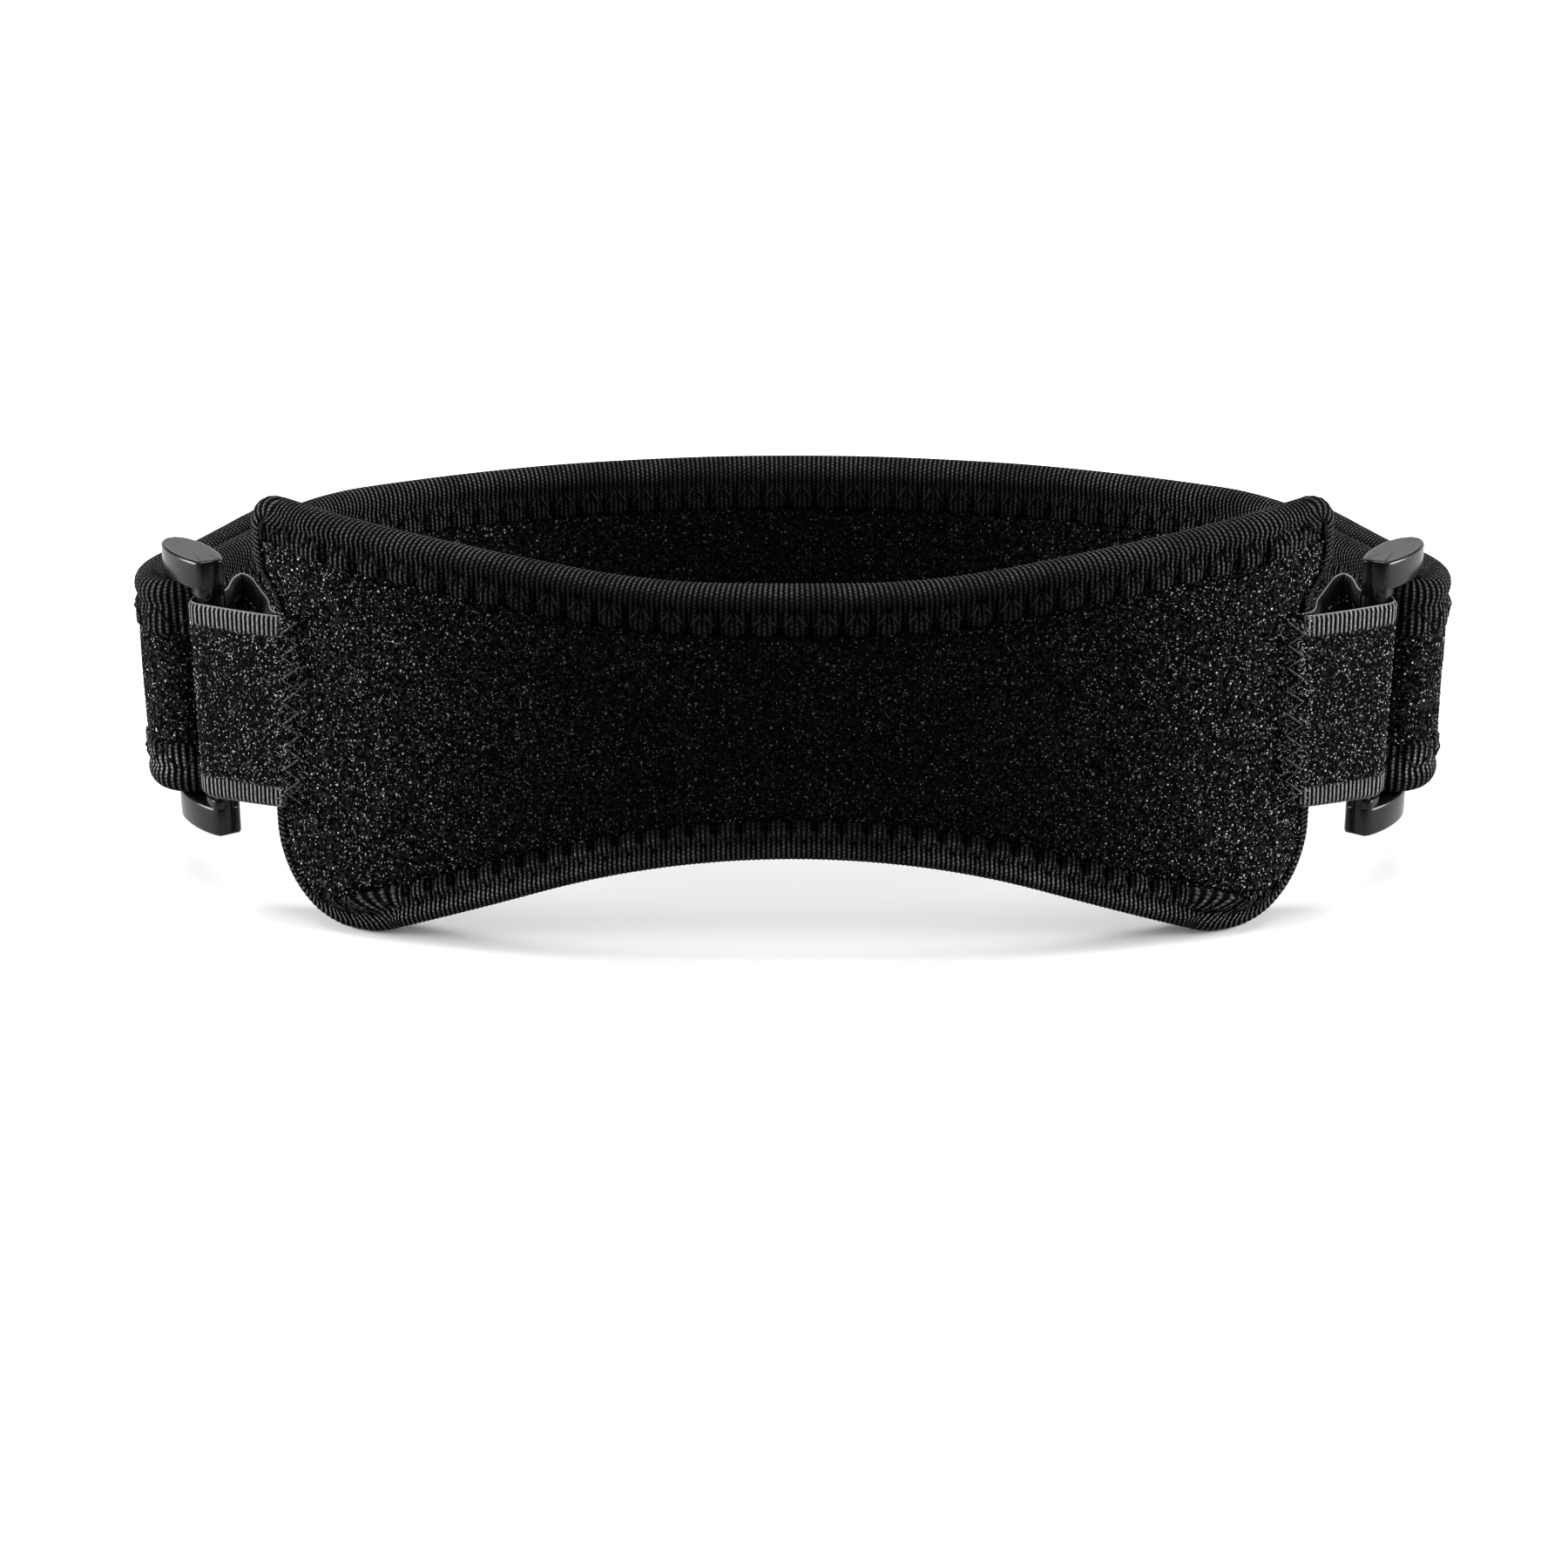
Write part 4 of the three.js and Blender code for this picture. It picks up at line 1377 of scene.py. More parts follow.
@dataclass(frozen=True)
class RibbedTape:
    """Ribbed elastic binding tape, its ribs straight across it."""

    name: str = "binding_tape"
    groove: tuple[float, float, float] = (0.0008, 0.0008, 0.0008)
    yarn: tuple[float, float, float] = (0.25, 0.25, 0.253)
    plain_share: float = 0.34
    # How strong the painted light on the lower lobes of the pad is.
    lobe_light_share: float = 0.5
    # Where across the tape the painted rim highlights lie, on the upper and on the lower edge, and
    # how strong they are.
    rim: float = 9.3
    low_rim: float = 4.6
    rim_highlight_share: float = 0.55

    def build(self) -> bpy.types.Material:
        """Ribs are a cosine of the rib count, beaded by a cosine across that is staggered from one
        rib to the next, and slow noise makes some of them paler. The tape is painted paler along
        its upper rim and just outside its lower rim, as painted highlights, and towards both ends
        of the strap, as painted side light, and painted light is laid most on the front of both
        lower lobes of the pad."""
        sheet = NodeSheet(self.name)
        _, count, across = sheet.run()
        turn = 2 * math.pi
        rib = sheet.math("COSINE", sheet.math("MULTIPLY", count, turn))
        rib = sheet.math("MULTIPLY_ADD", rib, 0.5, 0.5)
        step = sheet.math("MULTIPLY", sheet.math("ROUND", count), math.pi)
        bead = sheet.math("COSINE", sheet.math("MULTIPLY_ADD", across, turn / 0.62, step))
        bead = sheet.math("MULTIPLY_ADD", bead, 0.22, 0.78)
        place = sheet.object_place()
        fuzz = sheet.noise(place, 2600, 2.0, 0.6)
        wear = sheet.noise(place, 170, 2.0)
        height = sheet.math("MULTIPLY", rib, bead)
        fuzzy = sheet.ramp(fuzz, 0.3, 0.7, 0.35, 1.0)
        tone = sheet.math("MULTIPLY", sheet.ramp(height, 0.25, 1.0), fuzzy)
        tone = sheet.math("MULTIPLY", tone, sheet.ramp(wear, 0.3, 0.7, 0.55, 1.0))
        split = sheet.tree.nodes.new("ShaderNodeSeparateXYZ")
        sheet.put(split.inputs[0], place)
        # Painted highlight: a band along the upper rim, and one just outside the lower rim, is
        # painted paler.
        ridge = sheet.ramp(split.outputs[2], 0.022, 0.034, self.low_rim, self.rim)
        from_rim = sheet.math("ABSOLUTE", sheet.math("SUBTRACT", across, ridge))
        rim = sheet.ramp(from_rim, 1.9, 3.4, self.rim_highlight_share, 0.0)
        # Painted side light towards both ends of the strap, plus the painted rim highlight.
        wear_and_painted_light = sheet.math("ADD", sheet.wear_and_painted_light(0.03, 0.068, 0.17), rim, clamp=True)
        # Painted light on the front of both lower lobes of the pad, in a band across the tape.
        low = sheet.ramp(split.outputs[2], 0.02, 0.03, 1.0, 0.0)
        lobe = sheet.math("MULTIPLY", sheet.wear_and_painted_light(0.006, 0.036, 0.0), low)
        lobe = sheet.math("MULTIPLY", lobe, sheet.ramp(split.outputs[1], -0.02, -0.014, 1.0, 0.0))
        from_lit_band = sheet.math("ABSOLUTE", sheet.math("SUBTRACT", across, 3.8))
        lit_lobes = sheet.math("MULTIPLY", lobe, sheet.ramp(from_lit_band, 1.1, 2.4, self.lobe_light_share, 0.0))
        wear_and_painted_light = sheet.math("MULTIPLY_ADD", wear_and_painted_light, self.plain_share, lit_lobes)
        tone = sheet.math("MULTIPLY", tone, wear_and_painted_light)
        relief = sheet.math("MULTIPLY_ADD", fuzz, 0.25, height)
        sheet.set(
            Base_Color=sheet.mix(tone, self.groove, self.yarn),
            Roughness=sheet.ramp(height, 0.0, 1.0, 0.9, 0.6),
            Specular_IOR_Level=0.012,
            Normal=sheet.bump(relief, 0.00035, 1.0),
        )
        return sheet.material


@dataclass(frozen=True)
class StrapWebbing:
    """Webbing whose face is covered with loops between two ribbed selvedges."""

    name: str = "webbing"
    ground: tuple[float, float, float] = (0.001, 0.001, 0.001)
    raised: tuple[float, float, float] = (0.22, 0.22, 0.222)
    width: float = 31.0
    selvedge: float = 3.2

    def build(self) -> bpy.types.Material:
        """A matted speckle between the selvedges, and on them ribs that are a cosine of the rib
        count along the strap. A thin painted highlight runs along both edges, and painted shade
        darkens the ribs on the slack leg."""
        sheet = NodeSheet(self.name)
        _, count, across = sheet.run()
        place = sheet.object_place()
        coarse = sheet.specks(place, 1550, 0.33, 0.75)
        matted = sheet.ramp(sheet.noise(place, 2400, 2.0, 0.65), 0.56, 0.74)
        felted = sheet.math("MULTIPLY", matted, sheet.ramp(count, 2.5, 5.5, 0.8, 0.25))
        loop = sheet.math("MAXIMUM", coarse, felted)
        rib = sheet.math("COSINE", sheet.math("MULTIPLY", count, 2 * math.pi))
        rib = sheet.math("MULTIPLY_ADD", rib, 0.5, 0.5)
        fuzz = sheet.ramp(sheet.noise(place, 2600, 2.0), 0.3, 0.7, 0.5, 1.0)
        rib = sheet.math("MULTIPLY", sheet.ramp(rib, 0.2, 1.0), fuzz)
        half = self.width / 2
        from_middle = sheet.math("ABSOLUTE", sheet.math("SUBTRACT", across, half))
        edge = sheet.ramp(from_middle, half - self.selvedge - 0.4, half - self.selvedge + 0.3)
        edge = sheet.math("MULTIPLY", edge, sheet.ramp(count, 3.8, 5.0))
        # Painted highlight: a thin line along both edges of the strap is painted pale.
        rim = sheet.ramp(from_middle, half - 0.3, half - 0.1, 0.0, 0.55)
        # Painted shade: the selvedge ribs fade to dark between the 26th and the 31st rib along the
        # strap, over its slack leg.
        rib = sheet.math("MULTIPLY", rib, sheet.ramp(count, 26.0, 31.0, 0.75, 0.1))
        rib = sheet.math("MULTIPLY", sheet.math("MAXIMUM", rib, rim), edge)
        pile = sheet.math("MULTIPLY", loop, sheet.math("SUBTRACT", 1.0, edge))
        tone = sheet.math("ADD", rib, pile, clamp=True)
        sheet.set(
            Base_Color=sheet.mix(tone, self.ground, self.raised),
            Roughness=sheet.ramp(tone, 0.0, 1.0, 0.9, 0.6),
            Specular_IOR_Level=0.015,
            Normal=sheet.bump(tone, 0.0003, 1.0),
        )
        return sheet.material


@dataclass(frozen=True)
class SatinPlastic:
    """Moulded black plastic with a satin face."""

    name: str = "ring_plastic"
    base: tuple[float, float, float] = (0.0015, 0.0015, 0.0016)
    wear_and_painted_light: tuple[float, float, float] = (0.003, 0.003, 0.0031)

    def build(self) -> bpy.types.Material:
        """Fine mould texture from noise, with slow changes of gloss."""
        sheet = NodeSheet(self.name)
        place = sheet.object_place()
        slow = sheet.noise(place, 90, 3.0)
        fine = sheet.noise(place, 5200, 2.0)
        sheet.set(
            Base_Color=sheet.mix(sheet.ramp(slow, 0.35, 0.7), self.base, self.wear_and_painted_light),
            Roughness=sheet.ramp(slow, 0.3, 0.7, 0.2, 0.26),
            Specular_IOR_Level=0.18,
            Normal=sheet.bump(fine, 0.000006, 0.5),
        )
        return sheet.material


@dataclass(frozen=True)
class PlainYarn:
    """Black thread or hook tape: a dark ground with fine bright grain."""

    name: str
    grain: float
    dark: tuple[float, float, float] = (0.003, 0.003, 0.003)
    light: tuple[float, float, float] = (0.025, 0.025, 0.026)

    def build(self) -> bpy.types.Material:
        """Grain from noise, for colour and relief alike."""
        sheet = NodeSheet(self.name)
        grain = sheet.noise(sheet.object_place(), self.grain, 2.0, 0.6)
        sheet.set(
            Base_Color=sheet.mix(sheet.ramp(grain, 0.35, 0.7), self.dark, self.light),
            Roughness=sheet.ramp(grain, 0.3, 0.7, 0.6, 0.8),
            Specular_IOR_Level=0.03,
            Normal=sheet.bump(grain, 0.0001, 0.6),
        )
        return sheet.material


@dataclass
class Finishes:
    """Every material of the strap, made once."""

    cloth: bpy.types.Material = field(default_factory=lambda: LoopCloth().build())
    yarn: bpy.types.Material = field(default_factory=lambda: LoopYarn().build())
    tape: bpy.types.Material = field(default_factory=lambda: RibbedTape().build())
    webbing: bpy.types.Material = field(default_factory=lambda: StrapWebbing().build())
    plastic: bpy.types.Material = field(default_factory=lambda: SatinPlastic().build())
    thread: bpy.types.Material = field(
        default_factory=lambda: PlainYarn("thread", 4000, (0.001,) * 3, (0.006,) * 3).build()
    )
    seam: bpy.types.Material = field(
        default_factory=lambda: PlainYarn("seam_thread", 3000, (0.01,) * 3, (0.09,) * 3).build()
    )
    hooks: bpy.types.Material = field(default_factory=lambda: PlainYarn("hook_tape", 1400).build())


@dataclass
class FrontPad:
    """The butterfly pad: foam, binding tape, its stitches and the loops of its cloth."""

    plan: tuple[tuple[float, float], ...] = (
        (0, -10), (20, -9.3), (40, -7.2), (56, -4.2), (67, -1.1), (74.2, 2.2), (79.9, 5.7),
    )
    half: float = 2.7
    dome: float = 0.5
    loops: int = 9800

    def panel(self) -> Panel:
        """The pad as a panel, bent along its plan."""
        knots = np.array(self.plan, dtype=float)
        whole = np.vstack([knots[:0:-1] * [-1, 1], knots])
        return Panel(
            name="pad",
            top=EdgeLine(flat=25.5, knee=20.5, slope=0.168, knee_radius=140, corner_radius=5),
            bottom=EdgeLine(17.7, 19.5, 0.335, 120, 15),
            hollow=Hollow(
                depth=3.6, top=25, bottom=-13.5, upper_blend=6.5, lower_blend=20,
                draw_depth=1.4, draw_top=6, draw_bottom=-16,
            ),
            tape=Tape(width=6.9, half=3.0, wall=0.9, end_less=4.3),
            curve=PlanCurve(whole),
            middle=0.0,
            half=self.half,
            pinched=1.7,
            dome=self.dome,
            top_margin=10.9,
            low_margin=22.5,
            thin_share=0.5,
            thin_over=12,
            pressed_over=7,
        )

    def build(self, finishes: Finishes, rng: np.random.Generator, rough: bool) -> None:
        """Makes the pad's pieces.

        Args:
            finishes: The materials.
            rng: Source of the random numbers.
        """
        panel = self.panel()
        if not rough:
            panel.blow(pressure=0.3, cap=0.55)
        foam = make_piece("pad_foam", panel.foam(1.6 if rough else 0.8), finishes.cloth, weld=True)
        place_piece(foam, "loop_cloth", "front_pad")
        binding = panel.binding(0.45 if rough else 0.195, 0.05)
        tape = make_piece("pad_edge_tape", binding, finishes.tape)
        place_piece(tape, "binding_tape", "front_pad_binding")
        threads = join([panel.stitching(face, 10) for face in Face])
        place_piece(make_piece("pad_stitching", threads, finishes.thread), "binding_tape")
        piles = ((Face.OUTER, "pad_loops", 1.0), (Face.INNER, "pad_inner_loops", 0.6))
        for face, name, share in piles:
            count = int(self.loops * share * (0.5 if rough else 1))
            places, normals = panel.pile_places(rng, count, face)
            pile = loops(rng, places, normals)
            place_piece(make_piece(name, pile, finishes.yarn), "loop_cloth")


@dataclass(frozen=True)
class RingSizes:
    """Sizes of the rings and the ways along and across them, on the side of +X."""

    far_bar: tuple[float, float] = (92.6, 14.7)
    heading: float = 57.5
    near_width: float = 3.8
    far_width: float = 3.6
    slot: float = 6.3
    bar_depth: float = 3.2
    slot_spare: float = 0.8
    end_height: float = 4.6
    fillet: float = 0.5
    shoulder_drop: float = 1.3
    shoulder_depth: float = 4.5
    leaf: tuple[tuple[float, float], ...] = (
        (0, 1.6), (0.7, 2.2), (3.6, 3), (7.2, 3.2), (10.4, 2.8), (12.7, 1.9), (13.7, 0.9),
    )

    @property
    def bar_span(self) -> float:
        """Distance between the two bars, centre to centre."""
        return self.near_width / 2 + self.slot + self.far_width / 2

    def at(self, along: Array, inward: Array) -> Array:
        """Plan places given along the ring from its far bar and towards the wearer.

        Args:
            along: Distances along the ring.
            inward: Distances towards the wearer.

        Returns:
            The places in plan.
        """
        angle = math.radians(self.heading)
        way = np.array([math.cos(angle), math.sin(angle)])
        side = np.array([-way[1], way[0]])
        moved = np.array(self.far_bar) + np.asarray(along)[..., None] * way
        return moved + np.asarray(inward)[..., None] * side

    def turn_about(self, centre: float, radius: float, degrees: Array, slot_way: int) -> Array:
        """Half turn about a bar: 0 degrees points at the wearer, 90 degrees into the slot."""
        angle = np.radians(degrees)
        return self.at(centre + slot_way * radius * np.sin(angle), radius * np.cos(angle))


RING = RingSizes()


@dataclass
class BackBand:
    """The bound band, folded back on itself at both rings."""

    plan: tuple[tuple[float, float], ...] = (
        (0, 73), (15.2, 72.2), (35.6, 68.6), (49.4, 64.2), (62.6, 58.6), (70, 54.6),
        (76, 48.6), (80, 41), (83.5, 33.8), (87, 27.2), (89.1, 22),
    )
    flare: tuple[tuple[float, float], ...] = ((97.2, 15.5), (97.1, 19), (95.8, 22.8), (93.7, 26.3))
    lap_from: int = 9
    lap_to: int = 6
    height: float = 34.0
    middle: float = 2.3
    loops: int = 5200

    def half_plan(self, tape: Tape) -> Array:
        """The middle line from the back centre, round the far bar and back to the tail.

        The outer leg is the inner leg moved outwards by the thickness of both and a gap.

        Args:
            tape: The band's tape, which is its thickest part.

        Returns:
            Points of the line.
        """
        plan = np.array(self.plan, dtype=float)
        inner = PlanCurve(np.vstack([plan[2:0:-1] * [-1, 1], plan]), 12)
        pitch = 2 * tape.half + 0.3
        radius = RING.far_width / 2 + 0.3 + tape.half
        turn = RING.turn_about(0, radius, np.array([0, 30, 60, 90, 120, 150, 180]), -1)
        start, stop = inner.knots[self.lap_from + 2], inner.knots[self.lap_to + 2]
        lengths = np.linspace(stop, start, max(1, round((start - stop) / 7)) + 1)[::-1]
        return np.vstack([plan, turn, self.flare, inner.beside(lengths, pitch)])

    def panel(self) -> Panel:
        """The band as a panel, bent along its plan."""
        tape = Tape(
            width=8.0, half=2.1, wall=0.8, end_less=0.0, top_stitch=4.3, low_stitch=4.3,
            stitch_from=3.9, stitch_to=7.2, puff=0.14, pull=0.65, lobe=0.3, thread=0.17, slant=0.0,
        )
        half = self.half_plan(tape)
        curve = PlanCurve(np.vstack([half[:0:-1] * [-1, 1], half]))
        edge = EdgeLine(self.height / 2)
        return Panel(
            name="band", top=edge, bottom=edge, hollow=Hollow(), tape=tape, curve=curve,
            middle=self.middle,
            half=1.6, pinched=1.0, dome=0.15, top_margin=11.0, low_margin=11.0,
        )

    def build(self, finishes: Finishes, rng: np.random.Generator, rough: bool) -> None:
        """Makes the band's pieces.

        Args:
            finishes: The materials.
            rng: Source of the random numbers.
        """
        panel = self.panel()
        if not rough:
            panel.blow(pressure=0.1, cap=0.18)
        core = panel.foam(1.4 if rough else 0.8)
        cloth = make_piece("band_cloth", core, finishes.cloth, weld=True)
        place_piece(cloth, "loop_cloth", "back_band")
        binding = panel.binding(0.7 if rough else 0.38, 0.0)
        tape = make_piece("band_edge_tape", binding, finishes.tape)
        place_piece(tape, "binding_tape", "back_band_binding")
        threads = join([panel.stitching(face, 8) for face in Face])
        place_piece(make_piece("band_stitching", threads, finishes.thread), "binding_tape")
        for face, name in ((Face.OUTER, "band_loops"), (Face.INNER, "band_inner_loops")):
            places, normals = panel.pile_places(rng, int(self.loops * (0.5 if rough else 1)), face)
            pile = loops(rng, places, normals)
            place_piece(make_piece(name, pile, finishes.yarn), "loop_cloth")


@dataclass
class SideStrap:
    """A webbing strap: sewn on the pad, round the near bar and slack on its way back."""

    width: float = 31.0
    half: float = 0.4
    gap: float = 0.3
    sewn: tuple[float, float] = (72.8, 76.4)
    tucked: tuple[float, float] = (77.4, 75.6)
    slant: float = 1.4
    high: tuple[tuple[float, float], ...] = (
        (86.9, 9.25), (85.6, 9.9), (84.9, 11.6), (84.7, 14), (84.3, 16.8), (83.3, 18.4),
        (82, 17.1), (80.6, 13.2), (79.4, 9.4), (78.3, 6), (77.7, 2.5),
    )
    low: tuple[tuple[float, float], ...] = (
        (86.9, 9.25), (85.8, 9.8), (85.3, 11.2), (85.3, 13), (85, 14.6), (84.4, 15.6),
        (83.7, 14.7), (83.1, 11.6), (82.7, 8), (82.3, 4.6), (80.8, 1.7),
    )
    rib: float = 0.72
    sewn_over: float = 3.3
    loops_to_mm2: float = 2.9
    felted_share: float = 0.2

    def tracks(self, pad: Panel) -> list[PlanCurve]:
        """The plan lines of the strap's lower and upper edge.

        Args:
            pad: The pad that it is sewn on.

        Returns:
            Both lines, with as many spans.
        """
        radius = RING.near_width / 2 + self.gap + self.half
        degrees = np.array([212, 195, 175, 150, 125, 100, 75])
        around = RING.turn_about(-RING.bar_span, radius, degrees, 1)
        above = np.array([-0.55, 2 * (self.half + self.gap)])
        tracks = []
        for slack, further in ((self.low, self.slant), (self.high, 0.0)):
            outer, inner = np.array(self.sewn) + further, np.array(self.tucked) + further
            rest = self.gap + self.half + pad.tape.half * pad.thinned(outer)
            under = self.gap + self.half + pad.tape.half * pad.thinned(inner)
            start = pad.curve.beside(outer + pad.end, -rest - above)
            stop = pad.curve.beside(inner + pad.end, -under)
            tracks.append(PlanCurve(np.vstack([start, around, slack, stop])))
        return tracks

    def sheet(self, pad: Panel, fine: int) -> tuple[Array, Array, Array]:
        """The strap's middle surface, straight between its two edge lines.

        Args:
            pad: The pad that it is sewn on.
            fine: Steps in each span of the edge lines.

        Returns:
            Points, outward directions and lengths along the strap, lengths by heights.
        """
        middle = BackBand().middle
        share = np.linspace(0, 1, 46)
        rows = []
        for track in self.tracks(pad):
            spans = np.linspace(0, len(track.knots) - 1, (len(track.knots) - 1) * fine + 1)
            rows.append((*track.at(track.lengths_at(spans)), track.lengths_at(spans)))
        (low, low_n, low_l), (high, high_n, high_l) = rows
        plan = low[:, None] * (1 - share[:, None]) + high[:, None] * share[:, None]
        normal = low_n[:, None] * (1 - share[:, None]) + high_n[:, None] * share[:, None]
        normal = np.concatenate([normal, np.zeros((*normal.shape[:2], 1))], axis=-1)
        normal /= np.linalg.norm(normal, axis=-1, keepdims=True)
        height = np.broadcast_to(middle - self.width / 2 + share * self.width, plan.shape[:2])
        points = np.concatenate([plan, height[..., None]], axis=-1)
        return points, normal, (low_l + high_l)[:, None] / 2 + 0 * share

    @staticmethod
    def thinned(length: Array) -> Array:
        """Share of the thickness at a distance from the strap's end, eased up over 3 mm."""
        return 0.2 + 0.8 * smooth(length / 3.0)

    def webbing(self, pad: Panel, fine: int) -> Shell:
        """The strap as a closed strip with rounded edges.

        The middle surface is offset both ways, less towards its two edges by a quarter circle, and
        the selvedges are a little thicker than the cloth between them.

        Args:
            pad: The pad that it is sewn on.
            fine: Steps in each span of the edge lines.

        Returns:
            The strip in metres.
        """
        points, normal, length = self.sheet(pad, fine)
        across = np.linspace(0, self.width, points.shape[1])
        rim = np.minimum(across, self.width - across)
        round_off = np.sqrt(np.clip(1 - (1 - np.minimum(rim / 0.5, 1)) ** 2, 0, 1))
        bead = 0.04 * smooth((3.6 - rim) / 0.8)
        bead = bead * smooth((length - self.sewn_over + 0.6) / 0.8)
        rib = 0.05 * np.cos(2 * math.pi * length / self.rib) * smooth((3.4 - rim) / 0.5)
        rib = rib * smooth((length - self.sewn_over + 0.6) / 0.8)
        ends = np.minimum(length, length[-1:] - length)
        thick = (self.half - 0.05 + bead + rib) * round_off * self.thinned(ends)
        offset = normal * thick[..., None]
        front, back = points + offset, points - offset
        ring = np.concatenate([front, back[:, -2:0:-1]], axis=1)
        lengths = length[:, :1] / self.rib
        places = np.concatenate([across, across[-2::-1]])
        run = np.stack(np.broadcast_arrays(lengths, places[None]), axis=-1)
        body = grid_shell(ring, run, wrap_columns=True)
        caps = [fan_shell(ring[0], run[0, :-1], True), fan_shell(ring[-1], run[-1, :-1], False)]
        return settled(join([body, *caps]))

    def pile(self, pad: Panel, rng: np.random.Generator, rough: bool) -> Shell:
        """Loops on the strap between its selvedges, three in four on its outer face.

        A share of them is felted over the sewn end and a little beyond it.

        Args:
            pad: The pad that it is sewn on.
            rng: Source of the random numbers.

        Returns:
            The loops in metres.
        """
        points, normal, length = self.sheet(pad, 12)
        total = float(length[-1, 0])
        count = int(total * self.width * self.loops_to_mm2 * (0.3 if rough else 1))
        along, column = rng.uniform(0, total, count), rng.uniform(0.1, 0.9, count)
        felted = np.arange(count) < self.felted_share * count
        along[felted] = along[felted] * (self.sewn_over + 1.6) / total - 0.7
        column[felted] = 0.5 + (column[felted] - 0.5) * 1.22
        row = np.interp(along, length[:, 0], np.arange(len(points)))
        column = column * (points.shape[1] - 1)
        i, j = row.astype(int), column.astype(int)
        following = np.minimum(i + 1, len(points) - 1)
        shift = (column - j)[:, None] * (points[i, 1] - points[i, 0])
        step = (row - i)[:, None] * (points[following, j] - points[i, j])
        sign = rng.choice([-1.0, -1.0, -1.0, 1.0], count)[:, None]
        out = normal[i, j] * sign
        before = points[1, j] - points[0, j]
        before *= (np.minimum(along, 0) / np.linalg.norm(before, axis=1))[:, None]
        lift = self.half * self.thinned(along) - 0.05
        return loops(rng, points[i, j] + shift + step + before + out * lift[:, None], out)

    def seam(self, pad: Panel, stitches: int) -> Shell:
        """The zigzag that sews the strap's end on the pad.

        Along the strap it follows a triangle wave of the way across, just above the cloth.

        Args:
            pad: The pad that it is sewn on.
            stitches: How many stitches there are across the strap.

        Returns:
            The thread in metres.
        """
        points, normal, length = self.sheet(pad, 12)
        count = stitches * 10 + 1
        column = np.linspace(0.03, 0.97, count) * (points.shape[1] - 1)
        phase = np.linspace(0, stitches, count)
        wave = 2 * np.abs(phase - np.round(phase))
        row = np.interp(0.5 + (self.sewn_over - 0.9) * wave, length[:, 0], np.arange(len(points)))
        i, j = row.astype(int), column.astype(int)
        a, b = (row - i)[:, None], (column - j)[:, None]
        path = points[i, j] * (1 - a) * (1 - b) + points[i + 1, j] * a * (1 - b)
        path += points[i, j + 1] * (1 - a) * b + points[i + 1, j + 1] * a * b
        out = -normal[i, j]
        lift = self.half * self.thinned(np.interp(row, np.arange(len(points)), length[:, 0]))
        shell = tube(path + out * (lift[:, None] + 0.08), out, 0.15, 5, False)
        return settled(shell)

    def build(self, finishes: Finishes, rng: np.random.Generator, rough: bool) -> None:
        """Makes both straps.

        Args:
            finishes: The materials.
            rng: Source of the random numbers.
        """
        pad = FrontPad().panel()
        strip = self.webbing(pad, 12 if rough else 24)
        for side in Side:
            word = side.name.lower()
            shell = strip if side is Side.RIGHT else mirrored(strip)
            piece = make_piece(f"{word}_webbing", shell, finishes.webbing)
            place_piece(piece, "webbing", f"{word}_strap")
            for part, shell, finish in (
                ("loops", self.pile(pad, rng, rough), finishes.yarn),
                ("seam", self.seam(pad, 8), finishes.seam),
            ):
                made = shell if side is Side.RIGHT else mirrored(shell)
                place_piece(make_piece(f"{word}_webbing_{part}", made, finish), "webbing")


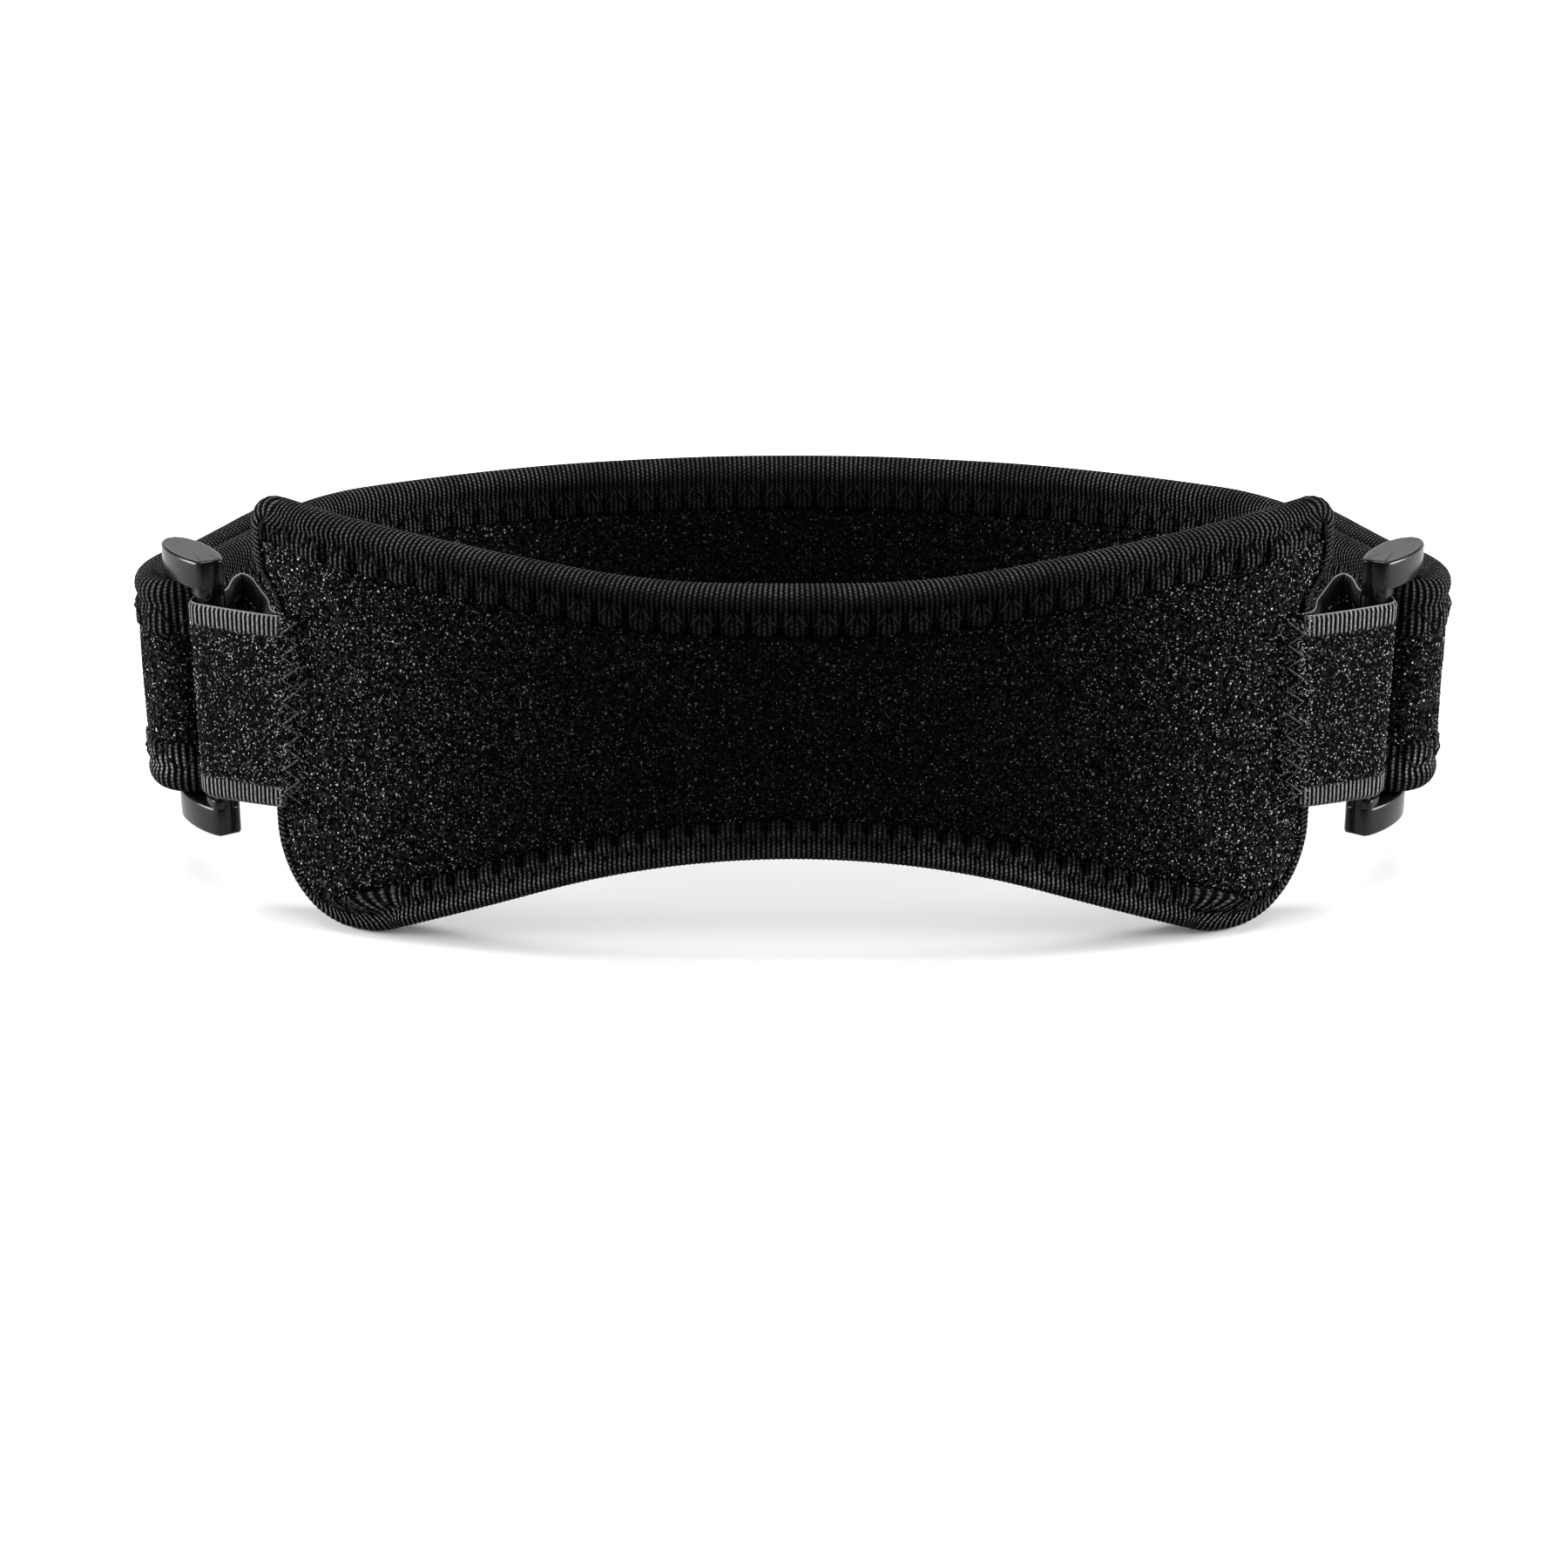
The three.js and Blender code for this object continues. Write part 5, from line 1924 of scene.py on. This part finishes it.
@dataclass
class Buckle:
    """A moulded ring: two bars between two leaf-shaped end pieces."""

    sizes: RingSizes = RING
    middle: float = 2.3
    band_height: float = 34.0

    def leaf(self, count: int) -> tuple[Array, Array]:
        """Plan of an end piece, a smooth leaf blunt at the near bar and pointed at the far bar.

        Args:
            count: Points in each of its two sides.

        Returns:
            The points of the closed outline and the directions out of it.
        """
        sizes = self.sizes
        whole = sizes.near_width + sizes.slot + sizes.far_width
        knots = np.array(sizes.leaf, dtype=float)
        knots[:, 0] = knots[:, 0] * whole / knots[-1, 0] + sizes.far_width / 2 - whole
        side = PlanCurve(knots)
        upper = side.at(np.linspace(0, side.length, count))[0]
        upper = np.vstack([upper, upper[-1] + [[0.15, -0.3]]])
        return self.with_normals(np.vstack([upper, upper[::-1] * [1, -1]]))

    @staticmethod
    def with_normals(outline: Array) -> tuple[Array, Array]:
        """Adds the directions out of a closed outline.

        Each is square to the line through both neighbours of its point.

        Args:
            outline: Points of the outline.

        Returns:
            The outline and the directions.
        """
        fine = np.vstack([outline[-1:], outline, outline[:1]])
        way = fine[2:] - fine[:-2]
        normal = np.stack([-way[:, 1], way[:, 0]], axis=-1)
        return outline, normal / np.linalg.norm(normal, axis=1, keepdims=True)

    def shoulder(self, count: int) -> tuple[Array, Array]:
        """Plan of the thickening of the near bar under an end piece, a super-ellipse.

        Args:
            count: Points in it.

        Returns:
            The points of the closed outline and the directions out of it.
        """
        angle = math.pi - 2 * math.pi * np.arange(count) / count
        power = 0.45
        along, inward = super_ellipse(angle, power)
        along = along * (self.sizes.near_width / 2 - 0.06)
        inward = inward * self.sizes.shoulder_depth / 2
        return self.with_normals(np.stack([along - self.sizes.bar_span, inward], axis=-1))

    def block(self, plan: tuple[Array, Array], low: float, high: float, fillet: float) -> Shell:
        """An upright block between two heights, its edges rounded by quarter circles.

        Args:
            plan: The points of its outline and the directions out of it.
            low: Its lower height.
            high: Its upper height.
            fillet: Radius of its edges.

        Returns:
            The piece in the strap's own millimetres.
        """
        outline, normal = plan
        angles = np.radians(np.linspace(0, 90, 6))
        inset = fillet * (1 - np.sin(angles))
        rise = fillet * (1 - np.cos(angles))
        insets = np.concatenate([[fillet + 0.25], inset, inset[::-1], [fillet + 0.25]])
        levels = np.concatenate([[low], low + rise, high - rise[::-1], [high]])
        rows = outline[None] - normal[None] * insets[:, None, None]
        flat = self.sizes.at(rows[..., 0], rows[..., 1])
        run = counted(len(levels), len(outline) + 1)
        return facing_out(capped(raised(flat, levels), run))

    def bar(self, centre: float, width: float, low: float, high: float) -> Shell:
        """An upright bar, a super-ellipse in plan that spreads where it meets the end pieces.

        Args:
            centre: Its place along the ring.
            width: Its width along the ring.
            low: Its lower height.
            high: Its upper height.

        Returns:
            The bar in the strap's own millimetres.
        """
        angle = 2 * math.pi * np.arange(40) / 40
        power = 0.8
        along, inward = super_ellipse(angle, power)
        along, inward = along * width / 2, inward * self.sizes.bar_depth / 2
        z = np.linspace(low, high, 60)
        root = self.sizes.end_height / 2
        near = np.minimum(z - low, high - z) - root
        flare = 0.5 * smooth(1 - near / 0.8) ** 2
        spread = 1 + flare[:, None] * 0.1
        flat = self.sizes.at(centre + along[None] * spread, inward[None] * spread)
        run = np.stack(np.meshgrid(z, np.arange(len(angle) + 1.0), indexing="ij"), axis=-1)
        return facing_out(capped(raised(flat, z), run))

    def build(self, finishes: Finishes) -> None:
        """Makes both rings.

        Args:
            finishes: The materials.
        """
        sizes = self.sizes
        slot = (self.band_height + sizes.slot_spare) / 2
        low, high = self.middle - slot, self.middle + slot
        sunk = sizes.end_height / 2
        leaf, shoulder = self.leaf(40), self.shoulder(48)
        drop = sizes.shoulder_drop
        whole = join(
            [
                self.block(leaf, low - sizes.end_height, low, sizes.fillet),
                self.block(leaf, high, high + sizes.end_height, sizes.fillet),
                self.block(shoulder, low - 1.0, low + drop, 0.35),
                self.block(shoulder, high - drop, high + 1.0, 0.35),
                self.bar(-sizes.bar_span, sizes.near_width, low - sunk, high + sunk),
                self.bar(0.0, sizes.far_width, low - sunk, high + sunk),
            ]
        )
        shell = settled(whole)
        for side in Side:
            word = side.name.lower()
            made = shell if side is Side.RIGHT else mirrored(shell)
            piece = make_piece(f"{word}_buckle", made, finishes.plastic)
            place_piece(piece, "ring_plastic", f"{word}_ring")


@dataclass
class HookPatches:
    """The hook patches between the legs of the band, carried over from the frame."""

    nodes: tuple[str, str] = ("left_hook_patch", "right_hook_patch")

    def dress(self, finishes: Finishes) -> None:
        """Gives the patches their finish.

        Args:
            finishes: The materials.
        """
        for node in self.nodes:
            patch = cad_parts[node]
            patch.data.materials.clear()
            patch.data.materials.append(finishes.hooks)
            LOG.info("%s: dressed", node)


@dataclass(frozen=True)
class SoftBox:
    """A soft box: its place, its width and height in metres, and its power in watts."""

    name: str
    place: tuple[float, float, float]
    size: tuple[float, float]
    power: float


@dataclass
class Studio:
    """Pale floor, soft light and the photograph's camera."""

    elevation: float = 33.4
    distance: float = 0.9
    lens: float = 137.4
    shift: tuple[float, float] = (-0.0056, -0.0382)
    floor_size: float = 8.0
    floor_tone: float = 0.5
    sky: float = 0.15
    aim_height: float = 0.03
    boxes: tuple[SoftBox, ...] = (
        SoftBox("left_box", (-0.9, -0.04, 0.3), (0.5, 0.5), 30.0),
        SoftBox("right_box", (0.9, -0.04, 0.3), (0.5, 0.5), 30.0),
        SoftBox("top_box", (0.0, 0.3, 1.1), (1.2, 0.6), 24.0),
        SoftBox("back_box", (0.0, 1.1, 0.35), (1.4, 0.4), 4.0),
    )

    def camera(self) -> None:
        """Aims the camera at the middle of the strap's own frame, from the photograph's angle."""
        aim = STANCE.settle(np.zeros(3))
        angle = math.radians(self.elevation)
        data = bpy.data.cameras.new("camera")
        data.lens = self.lens
        data.sensor_width = 36.0
        data.shift_x, data.shift_y = self.shift
        data.clip_start = 0.05
        camera = bpy.data.objects.new("camera", data)
        camera.location = (
            float(aim[0]),
            float(aim[1]) - self.distance * math.cos(angle),
            float(aim[2]) + self.distance * math.sin(angle),
        )
        camera.rotation_euler = (math.pi / 2 - angle, 0.0, 0.0)
        bpy.context.scene.collection.objects.link(camera)
        bpy.context.scene.camera = camera

    def floor(self) -> None:
        """A wide pale floor, just under the strap."""
        sheet = NodeSheet("floor_paper")
        grain = sheet.noise(sheet.object_place(), 40, 2.0)
        tone = self.floor_tone
        sheet.set(
            Base_Color=sheet.mix(grain, (tone, tone, tone), (tone * 1.01,) * 3),
            Roughness=0.9,
            Specular_IOR_Level=0.1,
        )
        half = self.floor_size / 2
        mesh = bpy.data.meshes.new("floor")
        corners = [(-half, -half, 0.0), (half, -half, 0.0), (half, half, 0.0), (-half, half, 0.0)]
        mesh.from_pydata(corners, [], [(0, 1, 2, 3)])
        mesh.materials.append(sheet.material)
        floor = bpy.data.objects.new("floor", mesh)
        bpy.context.scene.collection.objects.link(floor)

    def light(self, box: SoftBox) -> None:
        """Adds a soft box that faces the strap.

        Args:
            box: Its sizes.
        """
        data = bpy.data.lights.new(box.name, "AREA")
        data.shape = "RECTANGLE"
        data.size, data.size_y = box.size
        data.energy = box.power
        lamp = bpy.data.objects.new(box.name, data)
        lamp.location = box.place
        way = np.array([0.0, 0.0, self.aim_height]) - np.array(box.place)
        flat = math.hypot(way[0], way[1])
        spin = math.atan2(way[1], way[0]) - math.pi / 2
        lamp.rotation_euler = (math.atan2(flat, -way[2]), 0.0, spin)
        bpy.context.scene.collection.objects.link(lamp)

    def build(self) -> None:
        """Sets up the floor, the light and the camera."""
        scene = bpy.context.scene
        scene.view_settings.view_transform = "Standard"
        world = bpy.data.worlds.new("studio")
        world.use_nodes = True
        back = world.node_tree.nodes["Background"]
        back.inputs["Color"].default_value = (1.0, 1.0, 1.0, 1.0)
        back.inputs["Strength"].default_value = self.sky
        scene.world = world
        self.floor()
        for box in self.boxes:
            self.light(box)
        self.camera()


def main() -> None:
    """Builds every sub-assembly in order and sets up the studio."""
    logging.basicConfig(level=logging.INFO, format="%(name)s: %(message)s")
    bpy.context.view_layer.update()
    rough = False
    rng = np.random.default_rng(SEED)
    finishes = Finishes()
    FrontPad().build(finishes, rng, rough)
    BackBand().build(finishes, rng, rough)
    SideStrap().build(finishes, rng, rough)
    Buckle().build(finishes)
    HookPatches().dress(finishes)
    Studio().build()


if __name__ == "__main__":
    main()
